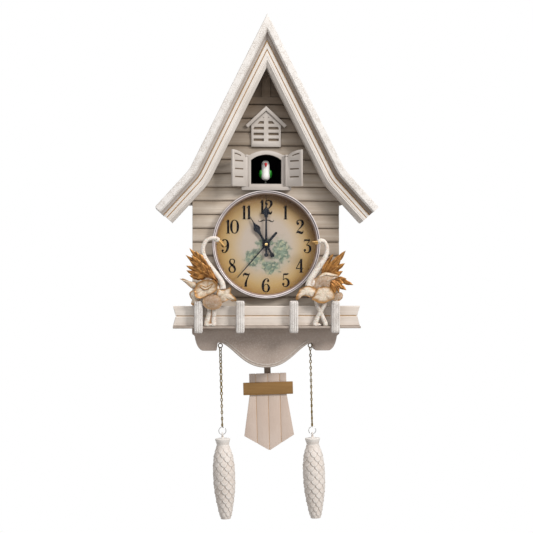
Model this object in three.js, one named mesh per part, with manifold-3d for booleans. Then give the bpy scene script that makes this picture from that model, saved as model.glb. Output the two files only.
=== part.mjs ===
// A pendulum wall clock in the form of a gabled house, with a cuckoo window, two swans on a balcony,
// a swinging pendulum board and two pine-cone weights on chains.
// Millimetres. X runs to the right, Y from the front of the clock to the wall, Z up.
// The origin is the nail that the clock hangs on: the top of the keyhole, in the plane of the wall.

import * as THREE from "three";
import { mergeVertices } from "three/addons/utils/BufferGeometryUtils.js";
import Module from "manifold-3d";

// ---- Driving dimensions ----

const gap = 0.3; // clearance between pieces that touch
const degree = Math.PI / 180;

// House and roof
const houseHalfWidth = 105;
const houseBottomZ = -311;
const caseWall = 3;
const coverThickness = 2.5;
const caseFrontY = -62; // front edge of the case, behind the front wall
const wallThickness = 4.2;
const roofApexZ = 135;
const roofBreakX = 110; // where the steep rake turns into the flatter eave
const roofBreakZ = -85.5;
const eaveTipX = 158;
const eaveTipZ = -138;
const roofBend = 18; // length of the short stretch that rounds the turn
const roofDepth = 105;
const roofBoard = 15.7; // thickness of the roof board
const roofBand = 9.7; // flat face of its front edge
const roofCoveDepth = 8;
const trimWidth = 17;
const trimFrontY = -97.3;
const trimBevel = 4.5;
const pinstripe = 1; // width of each painted groove in the trim
const eaveBlock = 6; // blocks on the case under each eave

// Siding and gable
const sidingTopZ = 10;
const sidingPitch = 19.7;
const sidingBottomZ = -300;
const sidingBulge = 3.5;
const braceWidth = 12;
const braceHeight = 9.6;
const braceRelief = 3;

// Gable vent
const ventHalfWidth = 21.3;
const ventBottomZ = -50.8;
const ventApexZ = 7.4;
const ventEaveX = 29.5;
const ventEaveZ = -20;
const ventRoofBand = 5;
const ventRelief = 4.2;
const ventRoofRelief = 6.7;
const louvrePitch = 8.3;
const louvreSlot = 3.6;
const louvreRows = 4;
const ventPost = 6.6;
const ventStile = 3.4;

// Cuckoo window
const windowHalfWidth = 21.85; // opening
const windowSillZ = -104.1;
const windowSpringZ = -69.8; // where the arch starts
const windowTopZ = -61.9;
const frameHalfWidth = 28.2;
const frameSpringZ = -65.5;
const frameTopZ = -56.4;
const frameRelief = 7.7;
const sillStepZ = -108.3;
const sillBottomZ = -113.1;
const sillHalfWidth = 35.3;
const shutterAxisX = 28.8;
const shutterAxisOut = 3.4; // hinge axis in front of the frame
const shutterThickness = 2.8;
const shutterOpen = 41; // degrees from the wall
const shutterBarrel = 2.4;
const shutterPin = 1;
const seatDepth = 1.5; // how far the frame and the vent are let into the siding

// Cuckoo and its drive
const chamberHalfWidth = 24;
const chamberTopZ = -59;
const chamberBottomZ = -107;
const chamberBackY = -24;
const chamberWall = 1.6;
const cuckooY = -59;
const cuckooTravel = 18;
const cuckooBodyRadius = 6.6;
const cuckooHeadZ = -76.4;
const cuckooBellyZ = -91;
const perchY = -56;
const plungerRadius = 2;
const solenoidRadius = 9;
const solenoidLength = 22;
const carriageFront = 5.5; // reach of the carriage before and behind the perch
const carriageBack = 7;

// Dial
const dialZ = -190.5;
const bezelRadius = 77;
const bezelDepth = 15.2;
const bezelBevel = 4;
const dialThickness = 1.4;
const glassThickness = 1.4;
const handThickness = 0.7;
const hourHandLength = bezelRadius * 0.605;
const minuteHandLength = bezelRadius - 9;
const secondHandLength = bezelRadius - 14;
const hourAngle = 330; // clockwise from twelve
const minuteAngle = 0;
const secondAngle = 221;

// Movement
const movementSize = 56;
const movementDepth = 16;
const neckRadius = 4;
const pipeRadius = 2.6;
const arborRadius = 1.6;
const secondsArborRadius = 0.8;
const batteryRadius = 7;
const batteryLength = 50;
const knobRadius = 8;

// Pendulum
const pivotZ = -212;
const pendulumY = -30; // front face of the rod, behind the weights
const pendulumLean = 1.5; // degrees off the vertical
const rodWidth = 9.5;
const rodThickness = 1.2;
const pivotPinRadius = 1.2;
const boardTop = 165.6; // below the pivot
const boardShoulder = 256;
const boardTip = 278;
const boardTopHalfWidth = 27;
const boardShoulderHalfWidth = 36.3;
const boardThickness = 3.5;
const bandTop = 178.2;
const bandHeight = 18.2;
const bandHalfWidth = 36.2;
const bandThickness = 2.4;

// Balcony
const deckHalfWidth = 133;
const deckTopZ = -306.5;
const deckThickness = 3;
const deckFrontY = -100;
const railTopZ = -277.9;
const railFrontY = -90.3;
const railThickness = 4.3;
const railGroove = 1.2;
const postOffsets = [-97, -38, 38, 97];
const postWidth = 12;
const postTopZ = -270.5;
const postBottomZ = -316;
const postFrontY = -104.5;

// Base
const baseFrontY = -70;
const baseWall = 3;
const baseTipZ = -367;
const baseLobeZ = -342.5;
const baseNotchX = 65;
const baseNotchZ = -331;
const slotHalfWidth = 26;
const slotHalfDepth = 6;

// Chains and weights
const chainY = -52;
const hookRadius = 3;
const hookWire = 0.8;
const chainRadius = 2.1;
const chainLength = 114;
const chainLean = 1.4; // degrees off the vertical
const ringRadius = 5.2;
const ringWire = 0.7;
const weightLean = 0.9; // degrees more than its chain
const weightLength = 122.5;
const weightRadius = 15.9;
const cupRadius = 11;
const cupHeight = 9.3;

// Back cover
const keyholeSlot = 5;
const keyholeEntry = 11;
const keyholeDrop = 12;
const accessHalf = 33; // opening behind the movement
const screwHead = 3.2;
const screwShank = 1.4;
const screwLength = 12;
const bossRadius = 4.2;
const doorWidth = 60;
const doorHeight = 38;
const doorThickness = 1.2;
const doorTravel = 15;
const moduleX = 61;
const moduleZ = -262;
const moduleDepth = 20;
const speakerX = -60;
const speakerZ = -262;
const speakerRadius = 26;
const switchZ = -222;
const switchTravel = 4;

// ---- Places worked out from them ----

const wallBackY = caseFrontY - gap;
const wallFaceY = wallBackY - wallThickness;
const sidingFrontY = wallFaceY - sidingBulge;
const seatY = wallFaceY - seatDepth; // flat seats cut into the siding
const fittedBackY = seatY - gap;
const frameFrontY = fittedBackY - frameRelief;
const shutterAxisY = frameFrontY - shutterAxisOut;
const caseBackY = -coverThickness - gap;
const dialBackY = wallFaceY - gap;
const dialFaceY = dialBackY - dialThickness;
const bezelFrontY = dialBackY - bezelDepth;
const glassFrontY = bezelFrontY + 5;
const glassBackY = glassFrontY + glassThickness;
const handStep = 1.6; // from one hand to the next
const secondHandY = glassBackY + 2 * gap + handThickness;
const minuteHandY = secondHandY + handStep;
const hourHandY = minuteHandY + handStep;
const movementFrontY = wallFaceY - gap + 0.6;
const movementBackY = movementFrontY + movementDepth;
const deckBottomZ = deckTopZ - deckThickness;
const baseTopZ = houseBottomZ - gap;

const wasm = await Module();
wasm.setup();

// ---- Solids ----

// A solid from a three.js geometry, turned the right way out.
function solid(geometry) {
  const bare = new THREE.BufferGeometry();
  const loose = geometry.index ? geometry.toNonIndexed() : geometry;
  bare.setAttribute("position", loose.getAttribute("position").clone());
  const merged = mergeVertices(bare, 1e-4);
  const faces = [];
  for (let i = 0; i < merged.index.count; i += 3) {
    const [a, b, c] = [0, 1, 2].map((k) => merged.index.getX(i + k));
    if (a !== b && b !== c && c !== a) faces.push(a, b, c);
  }
  const build = (triVerts) =>
    new wasm.Manifold(
      new wasm.Mesh({ numProp: 3, vertProperties: merged.attributes.position.array, triVerts }),
    );
  const made = build(new Uint32Array(faces));
  if (made.volume() > 0) return made;
  for (let i = 0; i < faces.length; i += 3) [faces[i], faces[i + 1]] = [faces[i + 1], faces[i]];
  return build(new Uint32Array(faces));
}

// The three.js geometry of a solid.
function geometryOf(made) {
  const mesh = made.getMesh();
  const positions = new Float32Array(mesh.numVert * 3);
  for (let i = 0; i < mesh.numVert; i++) {
    positions.set(mesh.vertProperties.subarray(i * mesh.numProp, i * mesh.numProp + 3), i * 3);
  }
  const geometry = new THREE.BufferGeometry();
  geometry.setAttribute("position", new THREE.BufferAttribute(positions, 3));
  geometry.setIndex(new THREE.BufferAttribute(mesh.triVerts, 1));
  geometry.computeVertexNormals();
  return geometry;
}

const join = (first, ...rest) => rest.reduce((sum, next) => sum.add(next), first);
const cut = (body, ...tools) => tools.reduce((left, tool) => left.subtract(tool), body);
const mirrored = (points) => points.map(([x, z]) => [-x, z]);

// A solid drawn in by a distance at its sides, top and bottom.
function drawnIn(made, distance) {
  const moves = [[distance, 0, 0], [-distance, 0, 0], [0, 0, distance], [0, 0, -distance]];
  return moves.map((move) => made.translate(...move)).reduce((left, next) => left.intersect(next));
}

// A block between two corners.
function block(x0, x1, y0, y1, z0, z1) {
  const geometry = new THREE.BoxGeometry(Math.abs(x1 - x0), Math.abs(y1 - y0), Math.abs(z1 - z0));
  geometry.translate((x0 + x1) / 2, (y0 + y1) / 2, (z0 + z1) / 2);
  return solid(geometry);
}

// An outline in the XZ plane, as points or a Shape, made into a plate between two depths.
function plate(outline, y0, y1, curveSegments = 8) {
  const shape = outline.isShape ? outline : new THREE.Shape(outline.map(([x, z]) => new THREE.Vector2(x, z)));
  const geometry = new THREE.ExtrudeGeometry(shape, {
    depth: Math.abs(y1 - y0),
    bevelEnabled: false,
    curveSegments,
  });
  geometry.rotateX(Math.PI / 2);
  geometry.translate(0, Math.max(y0, y1), 0);
  return solid(geometry);
}

// A round bar from one point to another.
function bar(radius, from, to, sides = 16, endRadius = radius) {
  const start = new THREE.Vector3(...from);
  const along = new THREE.Vector3(...to).sub(start);
  const geometry = new THREE.CylinderGeometry(endRadius, radius, along.length(), sides);
  geometry.translate(0, along.length() / 2, 0);
  const turn = new THREE.Quaternion().setFromUnitVectors(
    new THREE.Vector3(0, 1, 0),
    along.clone().normalize(),
  );
  geometry.applyQuaternion(turn);
  geometry.translate(...from);
  return solid(geometry);
}

// A profile of [radius, y] points turned about the Y axis.
function turned(profile, sides = 32) {
  return solid(new THREE.LatheGeometry(profile.map(([r, y]) => new THREE.Vector2(r, y)), sides));
}

// A profile of [radius, z] points turned about the Z axis.
function turnedUpright(profile, sides = 16) {
  const geometry = new THREE.LatheGeometry(profile.map(([r, z]) => new THREE.Vector2(r, z)), sides);
  geometry.rotateX(Math.PI / 2);
  return solid(geometry);
}

function ball(centre, [rx, ry, rz], across = 10, down = 7) {
  const geometry = new THREE.SphereGeometry(1, across, down);
  geometry.scale(rx, ry, rz);
  geometry.translate(...centre);
  return solid(geometry);
}

// A tube along a smooth curve through points.
function tube(points, radius, sides = 7, steps = 11) {
  const section = new THREE.Shape();
  for (let i = 0; i < sides; i++) {
    const angle = (i / sides) * 2 * Math.PI;
    const corner = [radius * Math.cos(angle), radius * Math.sin(angle)];
    if (i === 0) section.moveTo(...corner);
    else section.lineTo(...corner);
  }
  const path = new THREE.CatmullRomCurve3(points.map((p) => new THREE.Vector3(...p)));
  return solid(new THREE.ExtrudeGeometry(section, { extrudePath: path, steps, bevelEnabled: false }));
}

// Moves a line of [x, z] points to the right of its direction by a distance, with mitred corners.
function offsetLine(points, distance, closed = false) {
  const count = points.length;
  const normalAfter = (i) => {
    const [x0, z0] = points[i % count];
    const [x1, z1] = points[(i + 1) % count];
    const length = Math.hypot(x1 - x0, z1 - z0);
    return [(z1 - z0) / length, (x0 - x1) / length];
  };
  return points.map(([x, z], i) => {
    const before = i === 0 && !closed ? normalAfter(0) : normalAfter((i - 1 + count) % count);
    const after = i === count - 1 && !closed ? before : normalAfter(i);
    const share = distance / (1 + before[0] * after[0] + before[1] * after[1]);
    return [x + (before[0] + after[0]) * share, z + (before[1] + after[1]) * share];
  });
}

// A moulding: a profile of [inset, y] points carried along a line with mitred corners and square ends.
function moulding(line, profile) {
  const rings = profile.map(([inset]) => offsetLine(line, inset));
  const positions = [];
  const corner = (k, j) => {
    const [x, z] = rings[k % profile.length][j];
    return [x, profile[k % profile.length][1], z];
  };
  for (let k = 0; k < profile.length; k++) {
    for (let j = 0; j < line.length - 1; j++) {
      positions.push(...corner(k, j), ...corner(k + 1, j), ...corner(k + 1, j + 1));
      positions.push(...corner(k, j), ...corner(k + 1, j + 1), ...corner(k, j + 1));
    }
  }
  const flat = profile.map(([inset, y]) => new THREE.Vector2(inset, y));
  const clockwise = THREE.ShapeUtils.isClockWise(flat);
  for (const [a, b, c] of THREE.ShapeUtils.triangulateShape(flat, [])) {
    const last = line.length - 1;
    const [first, second] = clockwise ? [a, c] : [c, a];
    positions.push(...corner(first, 0), ...corner(b, 0), ...corner(second, 0));
    positions.push(...corner(second, last), ...corner(b, last), ...corner(first, last));
  }
  const geometry = new THREE.BufferGeometry();
  geometry.setAttribute("position", new THREE.Float32BufferAttribute(positions, 3));
  return solid(geometry);
}

// A profile of [y, z] points run along X between two places.
function runAlongX(profile, x0, x1) {
  const shape = new THREE.Shape(profile.map(([y, z]) => new THREE.Vector2(y, z)));
  const geometry = new THREE.ExtrudeGeometry(shape, { depth: x1 - x0, bevelEnabled: false });
  const axes = new THREE.Matrix4().makeBasis(
    new THREE.Vector3(0, 1, 0),
    new THREE.Vector3(0, 0, 1),
    new THREE.Vector3(1, 0, 0),
  );
  geometry.applyMatrix4(axes);
  geometry.translate(x0, 0, 0);
  return solid(geometry);
}

// ---- Outlines ----

// The outer line of the roof from the left eave over the apex to the right eave.
function roofLine() {
  const unit = (x, z) => [x / Math.hypot(x, z), z / Math.hypot(x, z)];
  const [rakeX, rakeZ] = unit(roofBreakX, roofBreakZ - roofApexZ);
  const [eaveX, eaveZ] = unit(eaveTipX - roofBreakX, eaveTipZ - roofBreakZ);
  const half = roofBend / 2;
  const right = [
    [roofBreakX - rakeX * half, roofBreakZ - rakeZ * half],
    [roofBreakX + eaveX * half, roofBreakZ + eaveZ * half],
    [eaveTipX, eaveTipZ],
  ];
  return [...mirrored(right).reverse(), [0, roofApexZ], ...right];
}

// The house in outline: two upright sides, a floor, and the roof line moved in by an inset.
function houseOutline(halfWidth, bottomZ, inset) {
  const line = offsetLine(roofLine(), inset);
  const right = line.slice((line.length - 1) / 2);
  const under = [];
  for (let i = 0; i < right.length - 1; i++) {
    const [x0, z0] = right[i];
    const [x1, z1] = right[i + 1];
    under.push([x0, z0]);
    if (x1 >= halfWidth) {
      under.push([halfWidth, z0 + ((z1 - z0) * (halfWidth - x0)) / (x1 - x0)]);
      break;
    }
  }
  const side = [...under, [halfWidth, bottomZ]];
  return [...side, ...mirrored(side.slice(1)).reverse()];
}

// Height of a shallow arch of given half width and rise above its springing, at x.
function archHeight(x, halfWidth, springZ, topZ) {
  const rise = topZ - springZ;
  const radius = (halfWidth ** 2 + rise ** 2) / (2 * rise);
  return topZ - radius + Math.sqrt(radius ** 2 - x ** 2);
}

// An arched opening standing on a level line.
function archOutline(halfWidth, bottomZ, springZ, topZ, steps = 8) {
  const arc = [];
  for (let i = 0; i <= steps; i++) {
    const x = halfWidth * (1 - (2 * i) / steps);
    arc.push([x, archHeight(x, halfWidth, springZ, topZ)]);
  }
  return [[-halfWidth, bottomZ], [halfWidth, bottomZ], ...arc];
}

// The base in outline, with its middle bowl, two notches for the chains and two lobes.
function baseOutline() {
  const shape = new THREE.Shape();
  const top = houseHalfWidth + 0.8;
  shape.moveTo(0, baseTipZ);
  shape.bezierCurveTo(30, baseTipZ, 42, baseNotchZ - 13, baseNotchX - 5, baseNotchZ - 2.2);
  shape.lineTo(baseNotchX + 1, baseNotchZ);
  shape.lineTo(baseNotchX + 4.2, baseNotchZ - 0.8);
  shape.lineTo(baseNotchX + 5.4, baseNotchZ - 9.5);
  shape.lineTo(baseNotchX + 6.6, baseLobeZ);
  shape.lineTo(91, baseLobeZ);
  shape.bezierCurveTo(98, -339.5, 100.6, -331, 102, -322);
  shape.lineTo(top, -319);
  shape.lineTo(top, baseTopZ);
  const right = shape.getPoints(6).map((p) => [p.x, p.y]);
  return [...right, ...mirrored(right.slice(1)).reverse()];
}

// ---- Materials ----

const paint = (color, roughness, metalness = 0) => new THREE.MeshStandardMaterial({ color, roughness, metalness });
const materials = {
  trim: paint(0xddd6cf, 0.55),
  siding: paint(0xc9bcae, 0.6),
  base: paint(0xb9aba0, 0.6),
  post: paint(0xe2ddd8, 0.7),
  board: paint(0xd2c1b4, 0.55),
  bronze: paint(0xa87c4a, 0.4, 0.5),
  brass: paint(0xb79452, 0.3, 1),
  steel: paint(0xc0c0c0, 0.3, 1),
  resin: paint(0xe9e0d4, 0.5),
  gold: paint(0xa9703a, 0.4, 0.3),
  white: paint(0xf2f0ec, 0.4),
  red: paint(0xb01020, 0.35),
  green: paint(0x2f9a35, 0.4),
  black: paint(0x151312, 0.6),
  face: paint(0xd9c49a, 0.6),
  glass: paint(0xf4f6f6, 0.05),
  hands: paint(0x14161a, 0.4),
  plastic: paint(0x2a2a2c, 0.5),
  battery: paint(0x3f5a7a, 0.35, 0.4),
  chainless: paint(0xe6ded8, 0.6),
};

function piece(name, made, material, parent) {
  const mesh = new THREE.Mesh(geometryOf(made), material);
  mesh.name = name;
  parent.add(mesh);
  return mesh;
}

// ---- Case ----

const bossPlaces = [
  [0, 36],
  [-houseHalfWidth + 9, houseBottomZ + 16],
  [houseHalfWidth - 9, houseBottomZ + 16],
];

function frontWall() {
  const outline = houseOutline(houseHalfWidth, houseBottomZ, roofBoard + gap);
  const house = plate(outline, wallBackY, sidingFrontY - 1);
  const boards = [[wallFaceY + 1, sidingTopZ]];
  const rows = Math.ceil((sidingTopZ - sidingBottomZ) / sidingPitch);
  for (let i = 0; i < rows; i++) {
    const top = sidingTopZ - i * sidingPitch;
    boards.push([wallFaceY - sidingBulge * 0.1, top]);
    boards.push([wallFaceY - sidingBulge * 0.75, top - sidingPitch * 0.28]);
    boards.push([sidingFrontY, top - sidingPitch * 0.78]);
    boards.push([wallFaceY - sidingBulge * 0.7, top - sidingPitch * 0.97]);
  }
  boards.push([wallFaceY + 1, sidingTopZ - rows * sidingPitch]);
  const siding = runAlongX(boards, -houseHalfWidth, houseHalfWidth).intersect(
    block(-houseHalfWidth, houseHalfWidth, wallFaceY + 1, sidingFrontY - 1, sidingBottomZ, sidingTopZ),
  );
  const braceY = wallFaceY - braceRelief;
  const brace = join(
    block(-houseHalfWidth, houseHalfWidth, wallFaceY + 1, braceY, sidingTopZ + 1, sidingTopZ + 1 + braceHeight),
    block(-braceWidth / 2, braceWidth / 2, wallFaceY + 1, braceY, sidingTopZ + 2, roofApexZ),
  );
  const front = join(plate(outline, wallBackY, wallFaceY), siding.intersect(house), brace.intersect(house));
  const movement = movementSize / 2 + 1.5;
  const seat = plate(frameOutline(gap), seatY, sidingFrontY - 2);
  const ventSeat = plate(ventOutline(gap), seatY, sidingFrontY - 2);
  const dialSeat = turned([[0, 0], [bezelRadius + gap, 0], [bezelRadius + gap, -9], [0, -9]], 56)
    .translate(0, wallFaceY, dialZ);
  const chamber = block(
    -chamberHalfWidth - gap, chamberHalfWidth + gap, 0, sidingFrontY - 2, chamberBottomZ - gap, chamberTopZ + gap,
  );
  const movementHole = block(-movement, movement, 0, sidingFrontY - 2, dialZ - movement, dialZ + movement);
  return cut(front, seat, ventSeat, dialSeat, chamber, movementHole);
}

function caseShell() {
  const outer = houseOutline(houseHalfWidth, houseBottomZ, roofBoard + gap);
  const inner = houseOutline(houseHalfWidth - caseWall, houseBottomZ + caseWall, roofBoard + gap + caseWall);
  const shell = cut(plate(outer, caseBackY, caseFrontY), plate(inner, 1, caseFrontY - 1));
  const slot = block(
    -slotHalfWidth, slotHalfWidth, pendulumY - slotHalfDepth, pendulumY + slotHalfDepth,
    houseBottomZ - 1, houseBottomZ + caseWall + 1,
  );
  const blockTopZ = eaveTipZ + 11;
  const blocks = [-1, 1].map((side) =>
    block(
      side * (houseHalfWidth - 1), side * (houseHalfWidth + eaveBlock), caseBackY - 12, caseFrontY + 4,
      blockTopZ - eaveBlock, blockTopZ + 3,
    ).intersect(plate(houseOutline(houseHalfWidth + 10, houseBottomZ, roofBoard + gap), 0, caseFrontY)),
  );
  const ties = join(
    block(-bossRadius, bossRadius, caseBackY, caseFrontY, bossPlaces[0][1], roofApexZ - 30),
    ...bossPlaces.slice(1).map(([x, z]) =>
      block(x, Math.sign(x) * (houseHalfWidth - 1), caseBackY, caseBackY - 30, z - 1.5, z + 1.5),
    ),
  ).intersect(plate(outer, caseBackY, caseFrontY));
  const bosses = bossPlaces.map(([x, z]) => bar(bossRadius, [x, caseBackY, z], [x, caseBackY - 30, z]));
  const holes = bossPlaces.map(([x, z]) =>
    bar(screwShank + gap, [x, 1, z], [x, caseBackY - screwLength - 2, z], 12),
  );
  return cut(join(shell, ...blocks, ties, ...bosses), slot, ...holes);
}

function backCover() {
  const cover = plate(houseOutline(houseHalfWidth, houseBottomZ, roofBoard + gap), -coverThickness, 0);
  const keyhole = join(
    block(-keyholeSlot / 2, keyholeSlot / 2, -9, 9, -keyholeDrop, 0),
    bar(keyholeSlot / 2, [0, -9, 0], [0, 9, 0], 16),
    bar(keyholeEntry / 2, [0, -9, -keyholeDrop], [0, 9, -keyholeDrop], 20),
  );
  const access = block(-accessHalf, accessHalf, -9, 9, dialZ - accessHalf, dialZ + accessHalf);
  const halfWidth = doorWidth / 2 + gap;
  const doorPocket = block(
    moduleX - halfWidth, moduleX + halfWidth, -doorThickness - 2 * gap, 9,
    moduleZ - doorHeight / 2 - doorTravel - gap, moduleZ + doorHeight / 2 + gap,
  );
  const bay = block(
    moduleX - doorWidth / 2 + 3, moduleX + doorWidth / 2 - 3, -9, 9,
    moduleZ - doorHeight / 2 + 3, moduleZ + doorHeight / 2 - 3,
  );
  const grille = [-2, -1, 0, 1, 2].map((row) => {
    const reach = Math.sqrt(18 ** 2 - (row * 7) ** 2);
    return block(speakerX - reach, speakerX + reach, -9, 9, speakerZ + row * 7 - 1.5, speakerZ + row * 7 + 1.5);
  });
  const switchSlot = block(
    moduleX - 4 - gap, moduleX + 4 + switchTravel + gap, -9, 9, switchZ - 2.5 - gap, switchZ + 2.5 + gap,
  );
  const holes = bossPlaces.map(([x, z]) =>
    join(
      bar(screwHead + gap, [x, 9, z], [x, -1.5 - gap, z], 16),
      bar(screwShank + gap, [x, 9, z], [x, -9, z], 12),
    ),
  );
  return cut(cover, keyhole, access, doorPocket, bay, ...grille, switchSlot, ...holes);
}

function coverScrew([x, z]) {
  const head = bar(screwHead, [x, -gap, z], [x, -1.5, z], 16);
  const shank = bar(screwShank, [x, -1, z], [x, caseBackY - screwLength, z], 10);
  const slot = block(x - 2.4, x + 2.4, -0.9, 1, z - 0.4, z + 0.4);
  return cut(join(head, shank), slot);
}

function roofShell() {
  const coveY = -roofDepth + roofCoveDepth;
  return moulding(roofLine(), [
    [0, 0], [roofBoard, 0], [roofBoard, coveY], [roofBand, -roofDepth], [0, -roofDepth],
  ]);
}

function roofTrim() {
  const outer = roofBoard + gap;
  const inner = outer + trimWidth;
  const stripY = trimFrontY + 0.5;
  const grooveY = stripY + 1;
  const secondStripe = outer + pinstripe + 4.7;
  return moulding(roofLine(), [
    [outer, sidingFrontY - gap], [inner, sidingFrontY - gap], [inner, trimFrontY + trimBevel + 1],
    [inner - trimBevel, trimFrontY], [secondStripe + pinstripe, trimFrontY],
    [secondStripe + pinstripe, grooveY], [secondStripe, grooveY], [secondStripe, stripY],
    [outer + pinstripe, stripY], [outer + pinstripe, grooveY], [outer, grooveY],
  ]);
}

// ---- Gable vent ----

function ventRoofLine() {
  return [[-ventEaveX, ventEaveZ], [0, ventApexZ], [ventEaveX, ventEaveZ]];
}

function ventOutline(margin) {
  const halfWidth = ventHalfWidth + margin;
  const under = offsetLine(ventRoofLine(), ventRoofBand + gap - 2 * margin);
  const [, apex, eave] = under;
  const sideZ = apex[1] + ((eave[1] - apex[1]) * halfWidth) / eave[0];
  return [
    [-halfWidth, ventBottomZ - margin], [halfWidth, ventBottomZ - margin], [halfWidth, sideZ],
    apex, [-halfWidth, sideZ],
  ];
}

function gableVent() {
  const frontY = fittedBackY - ventRelief;
  const body = plate(ventOutline(0), frontY, fittedBackY);
  const under = plate(offsetVent(ventStile), frontY - 1, frontY + 2);
  const slots = [];
  for (let row = 0; row <= louvreRows; row++) {
    const z = ventBottomZ + 8.2 + row * louvrePitch;
    for (const side of [-1, 1]) {
      slots.push(
        block(side * (ventPost / 2), side * (ventHalfWidth - ventStile), frontY - 1, frontY + 2, z, z + louvreSlot)
          .intersect(under),
      );
    }
  }
  return cut(body, ...slots);
}

function offsetVent(distance) {
  return ventOutline(0).map(([x, z], i) => [
    x - Math.sign(x) * distance,
    i < 2 ? z + distance : z - distance * 1.3,
  ]);
}

function ventRoof() {
  const frontY = fittedBackY - ventRoofRelief;
  return moulding(ventRoofLine(), [
    [0, sidingFrontY - gap], [ventRoofBand, sidingFrontY - gap], [ventRoofBand, frontY + 1],
    [ventRoofBand - 1, frontY], [0, frontY],
  ]);
}

// ---- Cuckoo window ----

function frameOutline(margin) {
  return archOutline(frameHalfWidth + margin, sillStepZ - margin, frameSpringZ + margin, frameTopZ + margin);
}

function windowFrame() {
  const arch = plate(
    archOutline(frameHalfWidth, windowSillZ, frameSpringZ, frameTopZ), frameFrontY, fittedBackY,
  );
  const opening = plate(
    archOutline(windowHalfWidth, windowSillZ, windowSpringZ, windowTopZ), frameFrontY - 1, fittedBackY + 1,
  );
  const upperSill = block(-frameHalfWidth + 3.7, frameHalfWidth - 3.7, fittedBackY, frameFrontY - 1, sillStepZ, windowSillZ);
  const heel = block(-frameHalfWidth, frameHalfWidth, fittedBackY, frameFrontY, sillStepZ, windowSillZ);
  const lowerSill = block(
    -sillHalfWidth, sillHalfWidth, sidingFrontY - gap, shutterAxisY - shutterBarrel - 0.8, sillBottomZ, sillStepZ,
  );
  const lugBottomZ = frameSpringZ + 0.1;
  const lugs = [];
  const pinHoles = [];
  for (const side of [-1, 1]) {
    const x = side * shutterAxisX;
    lugs.push(bar(shutterBarrel + 0.2, [x, shutterAxisY, lugBottomZ], [x, shutterAxisY, lugBottomZ + 2.8], 12));
    lugs.push(
      block(x - side * 6, x + side * shutterBarrel, shutterAxisY, frameFrontY + 3, lugBottomZ, lugBottomZ + 2.8)
        .subtract(block(x - side * 7, x - side * 2.6, shutterAxisY - 1, frameFrontY, -200, 0)),
    );
    pinHoles.push(bar(shutterPin + gap, [x, shutterAxisY, sillStepZ - 2.8], [x, shutterAxisY, 0], 12));
  }
  return cut(join(cut(join(arch, heel), opening), upperSill, lowerSill, ...lugs), ...pinHoles);
}

// A shutter in its own frame, with its hinge on the Z axis and its leaf along +X or -X.
function shutter(side) {
  const bottomZ = sillStepZ + gap;
  const hingeTopZ = frameSpringZ - gap + 0.1;
  const width = shutterAxisX - 0.9;
  const clearOfLug = 3.3;
  const arc = [];
  for (let i = 0; i <= 6; i++) {
    const reach = width - ((width - clearOfLug) * i) / 6;
    const x = Math.max(0, shutterAxisX - reach - 0.6);
    arc.push([side * reach, archHeight(x, frameHalfWidth, frameSpringZ, frameTopZ)]);
  }
  const outline = [
    [0, bottomZ], [side * width, bottomZ], ...arc, [side * clearOfLug, hingeTopZ], [0, hingeTopZ],
  ];
  const half = shutterThickness / 2;
  const leaf = plate(outline, -half, half);
  const slots = [0, 1, 2].map((row) => {
    const z = bottomZ + 12.4 + row * 11.3;
    return block(side * 7, side * (width - 5), -half - 1, -half + 0.8, z, z + 1.9);
  });
  const crown = arc.slice(1, 5);
  const crownSlot = [...crown.map(([x, z]) => [x, z - 6]), ...crown.map(([x, z]) => [x, z - 4.4]).reverse()];
  slots.push(plate(crownSlot, -half - 1, -half + 0.8));
  const barrel = bar(shutterBarrel, [0, 0, bottomZ], [0, 0, hingeTopZ], 12);
  const bore = bar(shutterPin + gap, [0, 0, bottomZ - 1], [0, 0, hingeTopZ + 1], 12);
  return cut(join(cut(leaf, ...slots), barrel), bore);
}

function shutterPinRod(side) {
  const x = side * shutterAxisX;
  return bar(shutterPin, [x, shutterAxisY, sillStepZ - 2.5], [x, shutterAxisY, frameSpringZ + 2.7], 12);
}

// ---- Cuckoo ----

function birdChamber() {
  const mouthY = fittedBackY + gap;
  const outer = block(-chamberHalfWidth, chamberHalfWidth, mouthY, chamberBackY, chamberBottomZ, chamberTopZ);
  const inner = block(
    -chamberHalfWidth + chamberWall, chamberHalfWidth - chamberWall, mouthY - 1, chamberBackY - chamberWall,
    chamberBottomZ + chamberWall, chamberTopZ - chamberWall,
  );
  const slot = block(-1.8, 1.8, perchY - 1.8, perchY + cuckooTravel + 1.8, chamberBottomZ - 1, chamberBottomZ + 3);
  const hangers = [-1, 1].map((side) =>
    block(side * 9, side * 11, perchY - 4, solenoidPlace().frontY - gap, carriageTopZ() - 7, chamberBottomZ + 0.5),
  );
  return join(cut(outer, inner, slot), ...hangers);
}

function carriageTopZ() {
  return chamberBottomZ - gap - 0.4;
}

function solenoidPlace() {
  return { z: carriageTopZ() - 2.5, frontY: perchY + carriageBack + cuckooTravel + 2 * gap };
}

function cuckooBody() {
  return join(
    ball([0, cuckooY, cuckooHeadZ], [5.6, 5.6, 6], 10, 7),
    ball([0, cuckooY, cuckooBellyZ], [cuckooBodyRadius, cuckooBodyRadius, 8.5], 10, 7),
    bar(5.4, [0, cuckooY, cuckooBellyZ], [0, cuckooY, cuckooHeadZ], 10, 5),
  );
}

function cuckooWings() {
  const wings = [-1, 1].map((side) =>
    ball([side * 6.2, cuckooY + 1.5, cuckooBellyZ + 3.5], [3.4, 5.5, 7.5], 8, 6),
  );
  const back = ball([0, cuckooY + 5, cuckooBellyZ + 3], [6.4, 4.4, 8], 8, 6);
  const tail = block(-3, 3, cuckooY + 6, cuckooY + 12, cuckooBellyZ - 3, cuckooBellyZ);
  return cut(join(...wings, back, tail), cuckooClearance());
}

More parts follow.
